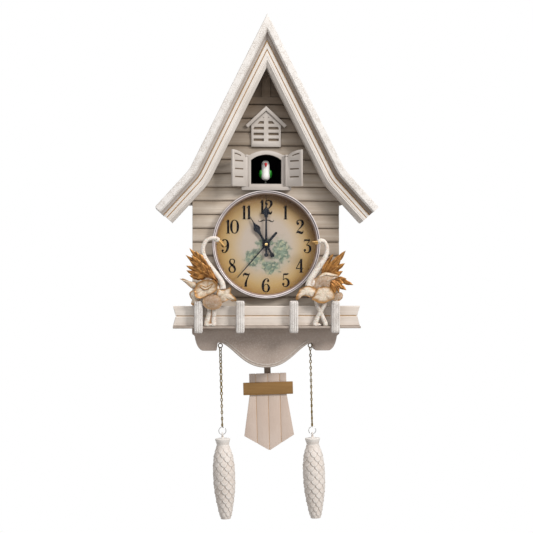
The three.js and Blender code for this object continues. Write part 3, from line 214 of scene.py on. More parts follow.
def makeCrackleGroup():
    # fine broken craquelure, in cells per metre
    tree, inside, out = newGroup(
        "crackle",
        [("Vector", vector, None), ("Cells", number, 260.0), ("Width", number, 0.09),
        ("Cover", number, 0.5)],
        [("Crack", number), ("Height", number)],
    )
    bend = noiseAt(tree, inside["Vector"], 380.0, 2.0)
    shift = put(tree, "ShaderNodeVectorMath", {0: bend.outputs["Color"], 1: (0.0022, 0.0022, 0.0022)},
        operation="MULTIPLY")
    place = put(tree, "ShaderNodeVectorMath", {0: inside["Vector"], 1: shift.outputs[0]}, operation="ADD")
    cells = put(
        tree, "ShaderNodeTexVoronoi", {"Vector": place.outputs[0], "Scale": inside["Cells"]},
        feature="DISTANCE_TO_EDGE"
    )
    line = calc(tree, "SUBTRACT", 1.0, calc(tree, "DIVIDE", cells.outputs["Distance"], inside["Width"]),
        clamp=True)
    patch = noiseAt(tree, inside["Vector"], 120.0, 3.0)
    low = calc(tree, "SUBTRACT", 0.75, calc(tree, "MULTIPLY", inside["Cover"], 0.5))
    here = calc(tree, "MULTIPLY", calc(tree, "SUBTRACT", patch.outputs["Fac"], low), 6.0, clamp=True)
    crack = calc(tree, "MULTIPLY", line, here)
    tree.links.new(crack, out["Crack"])
    tree.links.new(calc(tree, "SUBTRACT", 1.0, crack), out["Height"])
    return tree


def makeStreakGroup():
    # brushed grain: noise drawn out along the axes with small stretch numbers
    tree, inside, out = newGroup(
        "streak",
        [("Vector", vector, None), ("Stretch", vector, (10, 60, 400)), ("Contrast", number, 0.5)],
        [("Streak", number), ("Height", number)],
    )
    stretched = put(
        tree, "ShaderNodeVectorMath", {0: inside["Vector"], 1: inside["Stretch"]}, operation="MULTIPLY"
    )
    noise = put(tree, "ShaderNodeTexNoise", {"Vector": stretched.outputs[0], "Scale": 1.0, "Detail": 5.0,
        "Roughness": 0.62})
    edge = calc(tree, "MULTIPLY", calc(tree, "SUBTRACT", 1.0, inside["Contrast"]), 0.5)
    streak = spread(tree, noise.outputs["Fac"], calc(tree, "SUBTRACT", 0.5, edge),
        calc(tree, "ADD", 0.5, edge))
    tree.links.new(streak, out["Streak"])
    tree.links.new(noise.outputs["Fac"], out["Height"])
    return tree


def makeSpeckleGroup():
    # sponged flecks
    tree, inside, out = newGroup(
        "speckle", [("Vector", vector, None), ("Flecks", number, 500.0), ("Amount", number, 0.5)],
        [("Fleck", number)]
    )
    noise = put(tree, "ShaderNodeTexNoise", {"Vector": inside["Vector"], "Scale": inside["Flecks"],
        "Detail": 2.5, "Roughness": 0.6})
    low = calc(tree, "SUBTRACT", 0.72, calc(tree, "MULTIPLY", inside["Amount"], 0.34))
    fleck = spread(tree, noise.outputs["Fac"], low, calc(tree, "ADD", low, 0.09))
    tree.links.new(fleck, out["Fleck"])
    return tree


def makeHollowGroup():
    # colour darkened in hollows, partly a wiped wash and partly painted shade, and lightened on raised
    # edges, partly rubbed paint and partly painted highlight, from the "hollow" value kept on the mesh
    tree, inside, out = newGroup(
        "hollow", [("Deep", number, 1.0), ("Rub", number, 1.0), ("Vector", vector, None)],
        [("WashAndShade", number), ("WearAndHighlight", number)]
    )
    kept = put(tree, "ShaderNodeAttribute", attribute_name="hollow")
    noise = noiseAt(tree, inside["Vector"], 260.0, 3.0)
    value = calc(tree, "ADD", kept.outputs["Fac"], calc(tree, "MULTIPLY",
        calc(tree, "SUBTRACT", noise.outputs["Fac"], 0.5), 0.25))
    wash = calc(tree, "MULTIPLY", spread(tree, value, 0.54, 0.8), inside["Deep"], clamp=True)
    wearAndHighlight = calc(tree, "MULTIPLY", spread(tree, value, 0.44, 0.2), inside["Rub"], clamp=True)
    tree.links.new(wash, out["WashAndShade"])
    tree.links.new(wearAndHighlight, out["WearAndHighlight"])
    return tree


groups = {}


def makeGroups():
    groups["crackle"] = makeCrackleGroup()
    groups["streak"] = makeStreakGroup()
    groups["speckle"] = makeSpeckleGroup()
    groups["hollow"] = makeHollowGroup()


def newMaterial(name):
    mat = bpy.data.materials.new(name)
    mat.use_nodes = True
    tree = mat.node_tree
    place = tree.nodes.new("ShaderNodeTexCoord").outputs["Object"]
    return mat, tree, tree.nodes["Principled BSDF"], place


def finishMaterial(tree, shader, colour, roughness, height=None, depth=0.0002, sheen=0.25):
    tree.links.new(colour, shader.inputs["Base Color"])
    shader.inputs["Specular IOR Level"].default_value = sheen
    feed(tree, shader.inputs["Roughness"], roughness)
    if height is not None:
        bump = put(tree, "ShaderNodeBump", {"Height": height, "Distance": depth, "Strength": 0.6})
        tree.links.new(bump.outputs[0], shader.inputs["Normal"])


def paintedWood(name, v):
    # paint over moulded wood: uneven coat, brushed grain, crackle, flecks and wash
    mat, tree, shader, place = newMaterial(name)
    cloud = noiseAt(tree, place, v.get("cloud", 22.0), 4.0)
    base = blendColour(tree, spread(tree, cloud.outputs["Fac"], 0.3, 0.7), v["low"], v["high"])
    streak = useGroup(tree, groups["streak"], {"Vector": place, "Stretch": v.get("stretch", (14, 60, 420)),
        "Contrast": v.get("contrast", 0.35)})
    base = blendColour(tree, calc(tree, "MULTIPLY", streak["Streak"], v.get("grain", 0.3)), base, v["wash"])
    crackle = useGroup(tree, groups["crackle"], {"Vector": place, "Cells": v.get("cells", 260.0),
        "Width": v.get("crackWidth", 0.1), "Cover": v.get("cover", 0.5)})
    base = blendColour(tree, calc(tree, "MULTIPLY", crackle["Crack"], v.get("crack", 0.0)), base,
        v["crackColour"])
    flecks = useGroup(tree, groups["speckle"], {"Vector": place, "Flecks": v.get("flecks", 500.0),
        "Amount": v.get("fleckCover", 0.5)})
    base = blendColour(tree, calc(tree, "MULTIPLY", flecks["Fleck"], v.get("fleck", 0.0)), base,
        v.get("fleckColour", v["wash"]))
    # painted shade, where the set gives a shade function
    if "shade" in v:
        base = v["shade"](tree, place, base)
    height = calc(tree, "ADD", calc(tree, "MULTIPLY", streak["Height"], v.get("grainDepth", 0.5)),
        calc(tree, "MULTIPLY", crackle["Height"], v.get("crack", 0.0)))
    rough = spread(tree, cloud.outputs["Fac"], 0.3, 0.7, v.get("rough", 0.5) - 0.06,
        v.get("rough", 0.5) + 0.06)
    finishMaterial(tree, shader, base, rough, height, v.get("depth", 0.00025))
    return mat


def plainPaint(name, low, high, rough, scale=90.0, depth=0.00008, metal=0.0, coat=0.0, sheen=0.35):
    # moulded plastic or sprayed metal with a slightly uneven coat
    mat, tree, shader, place = newMaterial(name)
    noise = noiseAt(tree, place, scale, 4.0)
    fine = noiseAt(tree, place, 1400.0, 2.0)
    colour = blendColour(tree, spread(tree, noise.outputs["Fac"], 0.3, 0.7), low, high)
    finishMaterial(tree, shader, colour, spread(tree, noise.outputs["Fac"], 0.3, 0.7, rough - 0.05,
        rough + 0.05), fine.outputs["Fac"], depth, sheen)
    shader.inputs["Metallic"].default_value = metal
    shader.inputs["Coat Weight"].default_value = coat
    return mat


finishes = {}

paintSet = {
    "roofPaint": dict(low=(0.66, 0.625, 0.595), high=(0.77, 0.735, 0.71), wash=(0.50, 0.45, 0.41),
        crackColour=(0.40, 0.33, 0.27), crack=0.62, cells=330.0, crackWidth=0.13, cover=0.75, grain=0.10,
        stretch=(120, 60, 120), rough=0.6, fleck=0.22, flecks=620.0, fleckCover=0.45, depth=0.0004),
    "trimPaint": dict(low=(0.60, 0.55, 0.505), high=(0.71, 0.665, 0.625), wash=(0.50, 0.43, 0.36),
        crackColour=(0.42, 0.35, 0.29), crack=0.22, cells=300.0, crackWidth=0.08, cover=0.4, grain=0.16,
        rough=0.52, depth=0.0002),
    "windowPaint": dict(low=(0.43, 0.385, 0.35), high=(0.53, 0.485, 0.45), wash=(0.46, 0.38, 0.31),
        crackColour=(0.42, 0.35, 0.29), grain=0.16, stretch=(60, 60, 300), rough=0.5, depth=0.00015),
    "railPaint": dict(low=(0.66, 0.585, 0.525), high=(0.76, 0.70, 0.645), wash=(0.46, 0.37, 0.29),
        crackColour=(0.4, 0.33, 0.27), grain=0.34, stretch=(9, 60, 560), contrast=0.4, rough=0.5,
        depth=0.0003),
    "postPaint": dict(low=(0.72, 0.675, 0.64), high=(0.84, 0.81, 0.785), wash=(0.46, 0.40, 0.36),
        crackColour=(0.34, 0.29, 0.25), crack=0.5, cells=480.0, crackWidth=0.15, cover=0.8, grain=0.2,
        stretch=(560, 300, 22), rough=0.7, fleck=0.3, flecks=900.0, fleckCover=0.45, depth=0.0006),
    # painted shade: the console's paint is darker than the rail's, standing for the rail's shadow over it;
    # the pale flecks are its sponging
    "basePaint": dict(low=(0.40, 0.315, 0.265), high=(0.54, 0.445, 0.385), wash=(0.26, 0.20, 0.165),
        crackColour=(0.3, 0.25, 0.21), grain=0.06, stretch=(80, 80, 80), rough=0.55, fleck=0.55,
        flecks=640.0,
        fleckCover=0.62, fleckColour=(0.56, 0.49, 0.44), depth=0.0004),
    "sidePaint": dict(low=(0.5, 0.43, 0.37), high=(0.6, 0.535, 0.475), wash=(0.36, 0.29, 0.22),
        crackColour=(0.36, 0.3, 0.25), grain=0.4, stretch=(60, 7, 500), rough=0.55),
    "boardPaint": dict(low=(0.62, 0.50, 0.425), high=(0.71, 0.60, 0.53), wash=(0.52, 0.38, 0.31),
        crackColour=(0.42, 0.32, 0.26), grain=0.34, stretch=(520, 60, 9), contrast=0.4, rough=0.5,
        depth=0.0002),
}


plainSet = {
    "goldLine": dict(low=(0.34, 0.165, 0.035), high=(0.48, 0.26, 0.07), rough=0.4, metal=0.25),
    "paleGold": dict(low=(0.62, 0.40, 0.22), high=(0.70, 0.49, 0.30), rough=0.45, metal=0.1),
    # painted shade: dark brown for the faces sunk into slots
    "slotShade": dict(low=(0.13, 0.095, 0.065), high=(0.22, 0.165, 0.12), rough=0.6),
    # painted shade: the deck takes a darker paint than the rail
    "deckShadePaint": dict(low=(0.30, 0.24, 0.20), high=(0.42, 0.35, 0.30), rough=0.55),
    "mauveRim": dict(low=(0.62, 0.55, 0.55), high=(0.74, 0.68, 0.67), rough=0.35, coat=0.3),
    # painted shade: a dark tan for the bezel's inner slope
    "rimInnerShade": dict(low=(0.20, 0.13, 0.10), high=(0.29, 0.20, 0.155), rough=0.45),
    "rimShadow": dict(low=(0.045, 0.028, 0.035), high=(0.09, 0.06, 0.07), rough=0.5),
    "inkBlack": dict(low=(0.006, 0.006, 0.008), high=(0.014, 0.013, 0.014), rough=0.7, sheen=0.05),
    "handBlack": dict(low=(0.008, 0.010, 0.014), high=(0.02, 0.022, 0.028), rough=0.4, sheen=0.12),
    "hubBrass": dict(low=(0.62, 0.42, 0.17), high=(0.75, 0.53, 0.24), rough=0.25, metal=1.0),
    "chainBrass": dict(low=(0.07, 0.043, 0.004), high=(0.28, 0.18, 0.025), rough=0.42, scale=500.0,
        metal=0.1, sheen=0.2),
    "ringSteel": dict(low=(0.42, 0.41, 0.40), high=(0.62, 0.61, 0.60), rough=0.25, metal=0.9),
    "birdWhite": dict(low=(0.78, 0.77, 0.74), high=(0.86, 0.85, 0.83), rough=0.35, coat=0.3),
    "birdRed": dict(low=(0.45, 0.005, 0.012), high=(0.62, 0.012, 0.02), rough=0.3, coat=0.4),
    "birdGreen": dict(low=(0.01, 0.20, 0.015), high=(0.03, 0.36, 0.03), rough=0.35, coat=0.3),
    "stemGrey": dict(low=(0.08, 0.085, 0.07), high=(0.14, 0.14, 0.12), rough=0.5),
    "chamberBlack": dict(low=(0.004, 0.004, 0.004), high=(0.008, 0.008, 0.008), rough=0.8, sheen=0.05),
    "caseBlack": dict(low=(0.02, 0.02, 0.021), high=(0.035, 0.035, 0.036), rough=0.45, depth=0.00015),
    "knobWhite": dict(low=(0.74, 0.73, 0.70), high=(0.80, 0.79, 0.77), rough=0.3, coat=0.2),
    # painted light: the lip's paint is lighter than the console's, standing for its lit rim
    "lipPaint": dict(low=(0.46, 0.40, 0.35), high=(0.60, 0.54, 0.49), rough=0.5, scale=260.0),
    "rodBrown": dict(low=(0.16, 0.115, 0.085), high=(0.22, 0.165, 0.125), rough=0.5, metal=0.2),
    "beakGold": dict(low=(0.36, 0.20, 0.06), high=(0.55, 0.34, 0.13), rough=0.38, scale=400.0, metal=0.4),
}


def darkenJoints(tree, place, base):
    # painted shade: darker under each lap and at each board's lower lip, leaving the middle of a board pale
    # like a lit bulge; a narrow dark line marks each joint
    s = houseSet
    height = put(tree, "ShaderNodeSeparateXYZ", {0: place}).outputs["Z"]
    along = calc(tree, "DIVIDE", calc(tree, "SUBTRACT", s["sidingTop"] * mm, height), s["sidingPitch"] * mm)
    noise = noiseAt(tree, place, 28.0, 4.0)
    wave = calc(tree, "MULTIPLY", calc(tree, "SUBTRACT", noise.outputs["Fac"], 0.5), 0.55)
    part = calc(tree, "FRACT", along)
    under = spread(tree, calc(tree, "ADD", part, wave), 0.5, 0.0, 0.0, 0.55)
    lip = spread(tree, calc(tree, "ADD", part, calc(tree, "MULTIPLY", wave, 0.5)), 0.82, 1.05, 0.0, 0.5)
    line = spread(tree, part, 0.12, 0.01, 0.0, 0.35)
    base = blendColour(tree, under, base, (0.27, 0.20, 0.14))
    base = blendColour(tree, lip, base, (0.25, 0.185, 0.13))
    base = blendColour(tree, line, base, (0.14, 0.095, 0.06))
    # painted shade: the gable darker towards its peak, under the roof
    gableShade = spread(tree, height, -0.125, 0.015, 0.0, 0.93)
    base = blendColour(tree, gableShade, base, (0.085, 0.056, 0.034))
    # painted shadow of the right eave: the wall darker towards its right side
    side = put(tree, "ShaderNodeSeparateXYZ", {0: place}).outputs["X"]
    rightEaveShadow = spread(tree, calc(tree, "ADD", side, calc(tree, "MULTIPLY", wave, 0.03)), 0.03, 0.1, 0.0, 0.6)
    return blendColour(tree, rightEaveShadow, base, (0.175, 0.13, 0.095))


def darkenCove(tree, place, base):
    # painted shade: the cove under the right slope darker, as it faces away from the key light
    side = put(tree, "ShaderNodeSeparateXYZ", {0: place}).outputs["X"]
    return blendColour(tree, spread(tree, side, -0.004, 0.012, 0.0, 0.72), base, (0.20, 0.145, 0.105))


def makePaints():
    for name, values in paintSet.items():
        finishes[name] = paintedWood(name, values)
    for name, values in plainSet.items():
        finishes[name] = plainPaint(name, **values)
    # the siding paint carries painted shade at the laps, towards the gable peak and under the right eave
    finishes["sidingPaint"] = paintedWood("sidingPaint", dict(low=(0.50, 0.43, 0.36),
        high=(0.72, 0.65, 0.57), wash=(0.36, 0.275, 0.195), crackColour=(0.36, 0.3, 0.25), cloud=14.0,
        grain=0.6, stretch=(11, 50, 330), contrast=0.6, rough=0.5, shade=darkenJoints, depth=0.0003))
    # painted shade: the cove faces of the roof take a darker copy of the roof paint
    finishes["coveShadePaint"] = paintedWood("coveShadePaint", dict(low=(0.36, 0.315, 0.285),
        high=(0.50, 0.45, 0.415), wash=(0.28, 0.22, 0.18), crackColour=(0.3, 0.25, 0.21), grain=0.2,
        stretch=(80, 60, 80), rough=0.6, shade=darkenCove))
    finishes["bandGold"] = brushedGold()
    finishes["backBrown"] = paintedWood("backBrown", dict(low=(0.055, 0.042, 0.034),
        high=(0.085, 0.066, 0.052), wash=(0.035, 0.028, 0.024), crackColour=(0.03, 0.02, 0.02), grain=0.5,
        stretch=(30, 30, 300), rough=0.7))
    finishes["cellBlue"] = batteryPrint()
    finishes["ivoryResin"] = ivoryResin("ivoryResin", 0.75)
    finishes["petalResin"] = ivoryResin("petalResin", 1.0, (0.58, 0.47, 0.345), (0.82, 0.74, 0.63), 0.35)
    finishes["brownResin"] = ivoryResin("brownResin", 0.6, (0.33, 0.225, 0.15), (0.52, 0.41, 0.315), 0.85)
    finishes["featherGold"] = featherGold()
    finishes["conePaint"] = conePaint()
    finishes["dialPrint"] = dialPrint()
    finishes["clearGlass"] = clearGlass()
    print("finishes made:", len(finishes))


def brushedGold():
    mat, tree, shader, place = newMaterial("bandGold")
    streak = useGroup(tree, groups["streak"], {"Vector": place, "Stretch": (20, 20, 900), "Contrast": 0.3})
    colour = blendColour(tree, streak["Streak"], (0.235, 0.125, 0.042), (0.34, 0.195, 0.075))
    finishMaterial(tree, shader, colour, 0.42, streak["Height"], 0.0001)
    shader.inputs["Metallic"].default_value = 0.45
    return mat


def batteryPrint():
    mat, tree, shader, place = newMaterial("cellBlue")
    x = put(tree, "ShaderNodeSeparateXYZ", {0: place}).outputs["X"]
    noise = put(tree, "ShaderNodeTexNoise", {"Vector": place, "Scale": 200.0})
    sleeve = blendColour(tree, noise.outputs["Fac"], (0.03, 0.09, 0.22), (0.06, 0.14, 0.30))
    colour = blendColour(tree, spread(tree, x, 0.0135, 0.014), sleeve, (0.55, 0.33, 0.12))
    finishMaterial(tree, shader, colour, 0.3, noise.outputs["Fac"], 0.00005)
    shader.inputs["Metallic"].default_value = 0.4
    return mat


def ivoryResin(name, gilt, low=(0.56, 0.485, 0.415), high=(0.77, 0.715, 0.65), fleck=0.5):
    # cast resin in ivory, brown in the hollows, partly a wash and partly painted shade, and gold on the
    # rims that carry a "gilt" value
    mat, tree, shader, place = newMaterial(name)
    cloud = noiseAt(tree, place, 60.0, 4.0)
    base = blendColour(tree, spread(tree, cloud.outputs["Fac"], 0.35, 0.65), low, high)
    hollow = useGroup(tree, groups["hollow"], {"Deep": 0.9, "Rub": 0.45, "Vector": place})
    # painted shade in hollows over a brown wash, and painted highlight over rubbed paint on raised edges
    base = blendColour(tree, hollow["WashAndShade"], base, (0.33, 0.165, 0.07))
    base = blendColour(tree, hollow["WearAndHighlight"], base, (0.88, 0.85, 0.80))
    flecks = useGroup(tree, groups["speckle"], {"Vector": place, "Flecks": 620.0, "Amount": 0.6})
    base = blendColour(tree, calc(tree, "MULTIPLY", flecks["Fleck"], fleck), base, (0.30, 0.16, 0.08))
    stain = put(tree, "ShaderNodeTexNoise", {"Vector": place, "Scale": 95.0, "Detail": 5.0,
        "Roughness": 0.65})
    base = blendColour(tree, spread(tree, stain.outputs["Fac"], 0.54, 0.74, 0.0, 0.5), base,
        (0.46, 0.27, 0.13))
    rim = put(tree, "ShaderNodeAttribute", attribute_name="gilt").outputs["Fac"]
    ragged = calc(tree, "ADD", rim, calc(tree, "MULTIPLY", calc(tree, "SUBTRACT", cloud.outputs["Fac"],
        0.5), 0.9))
    edge = calc(tree, "MULTIPLY", spread(tree, ragged, 0.42, 0.85), gilt, clamp=True)
    halo = calc(tree, "MULTIPLY", spread(tree, ragged, -0.1, 0.75, 0.0, 0.6), gilt, clamp=True)
    base = blendColour(tree, halo, base, (0.43, 0.275, 0.15))
    base = blendColour(tree, edge, base, (0.34, 0.175, 0.06))
    fine = noiseAt(tree, place, 420.0, 4.0)
    finishMaterial(tree, shader, base, spread(tree, edge, 0.0, 1.0, 0.5, 0.38), fine.outputs["Fac"], 0.0007)
    shader.inputs["Subsurface Weight"].default_value = 0.05
    shader.inputs["Subsurface Scale"].default_value = 0.002
    tree.links.new(calc(tree, "MULTIPLY", edge, 0.35), shader.inputs["Metallic"])
    return mat


def featherGold():
    mat, tree, shader, place = newMaterial("featherGold")
    cloud = noiseAt(tree, place, 150.0, 4.0)
    base = blendColour(tree, spread(tree, cloud.outputs["Fac"], 0.35, 0.65), (0.12, 0.043, 0.01),
        (0.34, 0.145, 0.034))
    rim = put(tree, "ShaderNodeAttribute", attribute_name="gilt").outputs["Fac"]
    base = blendColour(tree, spread(tree, rim, 0.5, 1.0, 0.0, 0.6), base, (0.56, 0.31, 0.105))
    # painted shade: each feather darker towards its root, where the feathers overlap
    root = put(tree, "ShaderNodeAttribute", attribute_name="root").outputs["Fac"]
    base = blendColour(tree, spread(tree, root, 0.3, 0.9, 0.0, 0.7), base, (0.10, 0.035, 0.008))
    finishMaterial(tree, shader, base, 0.36, cloud.outputs["Fac"], 0.0006)
    shader.inputs["Metallic"].default_value = 0.5
    return mat


def conePaint():
    mat, tree, shader, place = newMaterial("conePaint")
    cloud = noiseAt(tree, place, 45.0, 4.0)
    base = blendColour(tree, spread(tree, cloud.outputs["Fac"], 0.35, 0.65), (0.66, 0.585, 0.53),
        (0.735, 0.675, 0.63))
    # darker in hollows under the scales, partly a wash and partly painted shade; lighter on the scales'
    # domes, partly rubbed paint and partly painted highlight
    hollow = useGroup(tree, groups["hollow"], {"Deep": 0.42, "Rub": 0.8, "Vector": place})
    base = blendColour(tree, hollow["WashAndShade"], base, (0.50, 0.40, 0.33))
    base = blendColour(tree, hollow["WearAndHighlight"], base, (0.80, 0.765, 0.73))
    streak = useGroup(tree, groups["streak"], {"Vector": place, "Stretch": (500, 500, 40), "Contrast": 0.3})
    base = blendColour(tree, calc(tree, "MULTIPLY", streak["Streak"], 0.14), base, (0.50, 0.40, 0.33))
    finishMaterial(tree, shader, base, 0.58, streak["Height"], 0.0003)
    return mat


def dialPrint():
    # an aged card: pale centre, tan towards the rim, with a faint green bouquet, and a painted shadow of
    # the bezel over its top and right
    s = dialSet
    mat, tree, shader, place = newMaterial("dialPrint")
    parts = put(tree, "ShaderNodeSeparateXYZ", {0: place}).outputs
    x = calc(tree, "DIVIDE", parts["X"], mm)
    z = calc(tree, "SUBTRACT", calc(tree, "DIVIDE", parts["Z"], mm), s["centre"])
    radius = calc(tree, "SQRT", calc(tree, "ADD", calc(tree, "MULTIPLY", x, x),
        calc(tree, "MULTIPLY", z, z)))
    blot = noiseAt(tree, place, 40.0, 5.0)
    wave = calc(tree, "MULTIPLY", calc(tree, "SUBTRACT", blot.outputs["Fac"], 0.5), 14.0)
    tone = calc(tree, "DIVIDE", calc(tree, "ADD", radius, wave), 72.0)
    card = ramp(tree, tone, [
        (0.0, (0.455, 0.385, 0.335)), (0.48, (0.455, 0.38, 0.315)), (0.66, (0.46, 0.345, 0.21)),
        (0.82, (0.45, 0.30, 0.125)), (1.0, (0.37, 0.205, 0.065)),
    ])
    # painted shadow of the bezel, darkest towards the top and right of the card
    corner = calc(tree, "ADD", calc(tree, "MULTIPLY", z, 0.92), calc(tree, "MULTIPLY", x, 0.38))
    bezelShadow = calc(tree, "MULTIPLY", spread(tree, corner, 5.0, 66.0), spread(tree, radius, 44.0, 71.0, 0.05,
        0.92))
    card = blendColour(tree, bezelShadow, card, (0.15, 0.08, 0.045))
    # a loose bouquet: soft clouds broken into leaves
    crowd = None
    for cx, cz, rx, rz in s["bouquet"]:
        bx = calc(tree, "DIVIDE", calc(tree, "SUBTRACT", x, cx), rx)
        bz = calc(tree, "DIVIDE", calc(tree, "SUBTRACT", z, cz), rz)
        far = calc(tree, "SQRT", calc(tree, "ADD", calc(tree, "MULTIPLY", bx, bx),
            calc(tree, "MULTIPLY", bz, bz)))
        near = calc(tree, "SUBTRACT", 1.0, far)
        crowd = near if crowd is None else calc(tree, "SMOOTH_MAX", crowd, near, 0.3)
    clump = put(tree, "ShaderNodeTexNoise", {"Vector": place, "Scale": 150.0, "Detail": 4.0,
        "Roughness": 0.65})
    body = calc(tree, "ADD", crowd, calc(tree, "MULTIPLY", calc(tree, "SUBTRACT", clump.outputs["Fac"],
        0.5), 2.4))
    curl = noiseAt(tree, place, 420.0, 3.0)
    bent = put(tree, "ShaderNodeVectorMath", {0: curl.outputs["Color"], 1: (0.006, 0.006, 0.006)},
        operation="MULTIPLY")
    spot = put(tree, "ShaderNodeVectorMath", {0: place, 1: bent.outputs[0]}, operation="ADD")
    leaves = put(tree, "ShaderNodeTexVoronoi", {"Vector": spot.outputs[0], "Scale": 330.0,
        "Randomness": 1.0})
    mask = spread(tree, body, -0.02, 0.3)
    shades = put(tree, "ShaderNodeSeparateColor", {0: leaves.outputs["Color"]}).outputs[0]
    shades = calc(tree, "ADD", calc(tree, "MULTIPLY", shades, 0.6), calc(tree, "MULTIPLY",
        clump.outputs["Fac"], 0.4))
    green = ramp(tree, shades, [(0.2, (0.035, 0.075, 0.055)), (0.42, (0.085, 0.15, 0.11)),
        (0.6, (0.20, 0.27, 0.20)), (0.85, (0.42, 0.40, 0.25))])
    haze = spread(tree, crowd, -0.2, 0.5, 0.0, 0.4)
    card = blendColour(tree, haze, card, (0.30, 0.36, 0.27))
    card = blendColour(tree, calc(tree, "MULTIPLY", mask, 0.8), card, green)
    blooms = put(tree, "ShaderNodeTexVoronoi", {"Vector": place, "Scale": 120.0})
    bloom = calc(tree, "MULTIPLY", spread(tree, blooms.outputs["Distance"], 0.24, 0.12),
        spread(tree, crowd, 0.1, 0.4), clamp=True)
    card = blendColour(tree, calc(tree, "MULTIPLY", bloom, 0.55), card, (0.55, 0.50, 0.38))
    fine = noiseAt(tree, place, 900.0, 3.0)
    finishMaterial(tree, shader, card, 0.6, fine.outputs["Fac"], 0.00005)
    return mat


def clearGlass():
    mat, tree, shader, place = newMaterial("clearGlass")
    smear = noiseAt(tree, place, 25.0, 2.0)
    shader.inputs["Base Color"].default_value = (1, 1, 1, 1)
    shader.inputs["Transmission Weight"].default_value = 1
    shader.inputs["IOR"].default_value = 1.12
    tree.links.new(spread(tree, smear.outputs["Fac"], 0.3, 0.7, 0.0, 0.03), shader.inputs["Roughness"])
    path = tree.nodes.new("ShaderNodeLightPath")
    clear = tree.nodes.new("ShaderNodeBsdfTransparent")
    mix = tree.nodes.new("ShaderNodeMixShader")
    passing = calc(tree, "MAXIMUM", path.outputs["Is Shadow Ray"], path.outputs["Is Diffuse Ray"])
    tree.links.new(passing, mix.inputs[0])
    tree.links.new(shader.outputs[0], mix.inputs[1])
    tree.links.new(clear.outputs[0], mix.inputs[2])
    tree.links.new(mix.outputs[0], tree.nodes["Material Output"].inputs["Surface"])
    return mat


# ---------- mesh helpers (millimetres in, metres out) ----------


def addPiece(name, points, faces, materials, body, hides=(), faceMaterial=None, angle=40.0, weld=False):
    mesh = bpy.data.meshes.new(name)
    mesh.from_pydata([(x * mm, y * mm, z * mm) for x, y, z in points], [], faces)
    for mat in materials if isinstance(materials, (list, tuple)) else [materials]:
        mesh.materials.append(finishes[mat])
    if faceMaterial is not None:
        mesh.polygons.foreach_set("material_index", faceMaterial)
    work = bmesh.new()
    work.from_mesh(mesh)
    if weld:
        bmesh.ops.remove_doubles(work, verts=work.verts, dist=0.01 * mm)
    bmesh.ops.recalc_face_normals(work, faces=work.faces)
    work.to_mesh(mesh)
    work.free()
    piece = bpy.data.objects.new(name, mesh)
    bpy.context.collection.objects.link(piece)
    smooth(piece, angle)
    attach(piece, body)
    for node in hides:
        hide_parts(node)
    return piece


def smooth(piece, angle):
    mesh = piece.data
    mesh.polygons.foreach_set("use_smooth", [True] * len(mesh.polygons))
    mesh.set_sharp_from_angle(angle=math.radians(angle))


def bake(piece):
    # applies the piece's modifiers
    graph = bpy.context.evaluated_depsgraph_get()
    made = bpy.data.meshes.new_from_object(piece.evaluated_get(graph))
    piece.modifiers.clear()
    old = piece.data
    piece.data = made
    bpy.data.meshes.remove(old)


def bevel(piece, width, segments=2, limit=35.0):
    mod = piece.modifiers.new("bevel", "BEVEL")
    mod.width = width * mm
    mod.segments = segments
    mod.limit_method = "ANGLE"
    mod.angle_limit = math.radians(limit)
    mod.use_clamp_overlap = True


def easeEdges(piece, width, segments, limit=35.0, angle=45):
    bevel(piece, width, segments, limit)
    bake(piece)
    smooth(piece, angle)


def softened(node, name, material, body, width=0.5, segments=2, limit=35.0, slots=None):
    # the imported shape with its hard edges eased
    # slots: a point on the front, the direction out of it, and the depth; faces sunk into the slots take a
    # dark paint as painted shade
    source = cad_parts[node]
    mesh = source.data.copy()
    mesh.name = name
    mesh.materials.clear()
    mesh.materials.append(finishes[material])
    work = bmesh.new()
    work.from_mesh(mesh)
    bmesh.ops.remove_doubles(work, verts=work.verts, dist=2e-6)
    bmesh.ops.dissolve_limit(work, angle_limit=math.radians(0.6), verts=work.verts, edges=work.edges)
    for face in work.faces:
        face.material_index = 0
    if slots:
        mesh.materials.append(finishes["slotShade"])
        start, outward, depth = Vector(slots[0]) * mm, Vector(slots[1]).normalized(), slots[2] * mm
        for face in work.faces:
            behind = (start - face.calc_center_median()).dot(outward)
            if depth * 0.35 < behind < depth * 1.2:
                face.material_index = 1
    work.to_mesh(mesh)
    work.free()
    piece = bpy.data.objects.new(name, mesh)
    bpy.context.collection.objects.link(piece)
    easeEdges(piece, width, segments, limit, 50)
    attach(piece, body)
    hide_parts(node)
    return piece


def loftFaces(rings, across, closed=True, caps=True):
    faces = []
    span = across if closed else across - 1
    for i in range(rings - 1):
        for j in range(span):
            a, b = i * across + j, i * across + (j + 1) % across
            faces.append((a, b, b + across, a + across))
    if caps and closed:
        faces.append(tuple(range(across - 1, -1, -1)))
        faces.append(tuple(range((rings - 1) * across, rings * across)))
    return faces


def smoothCurve(points, steps):
    # Catmull-Rom through points of any width
    data = np.array(points, float)
    ends = np.vstack([2 * data[0] - data[1], data, 2 * data[-1] - data[-2]])
    out = []
    for i in range(len(data) - 1):
        p0, p1, p2, p3 = ends[i : i + 4]
        for k in range(steps):
            t = k / steps
            out.append(0.5 * (
                2 * p1 + (p2 - p0) * t + (2 * p0 - 5 * p1 + 4 * p2 - p3) * t * t + (
                3 * p1 - p0 - 3 * p2 + p3) * t**3))
    out.append(data[-1])
    return np.array(out)


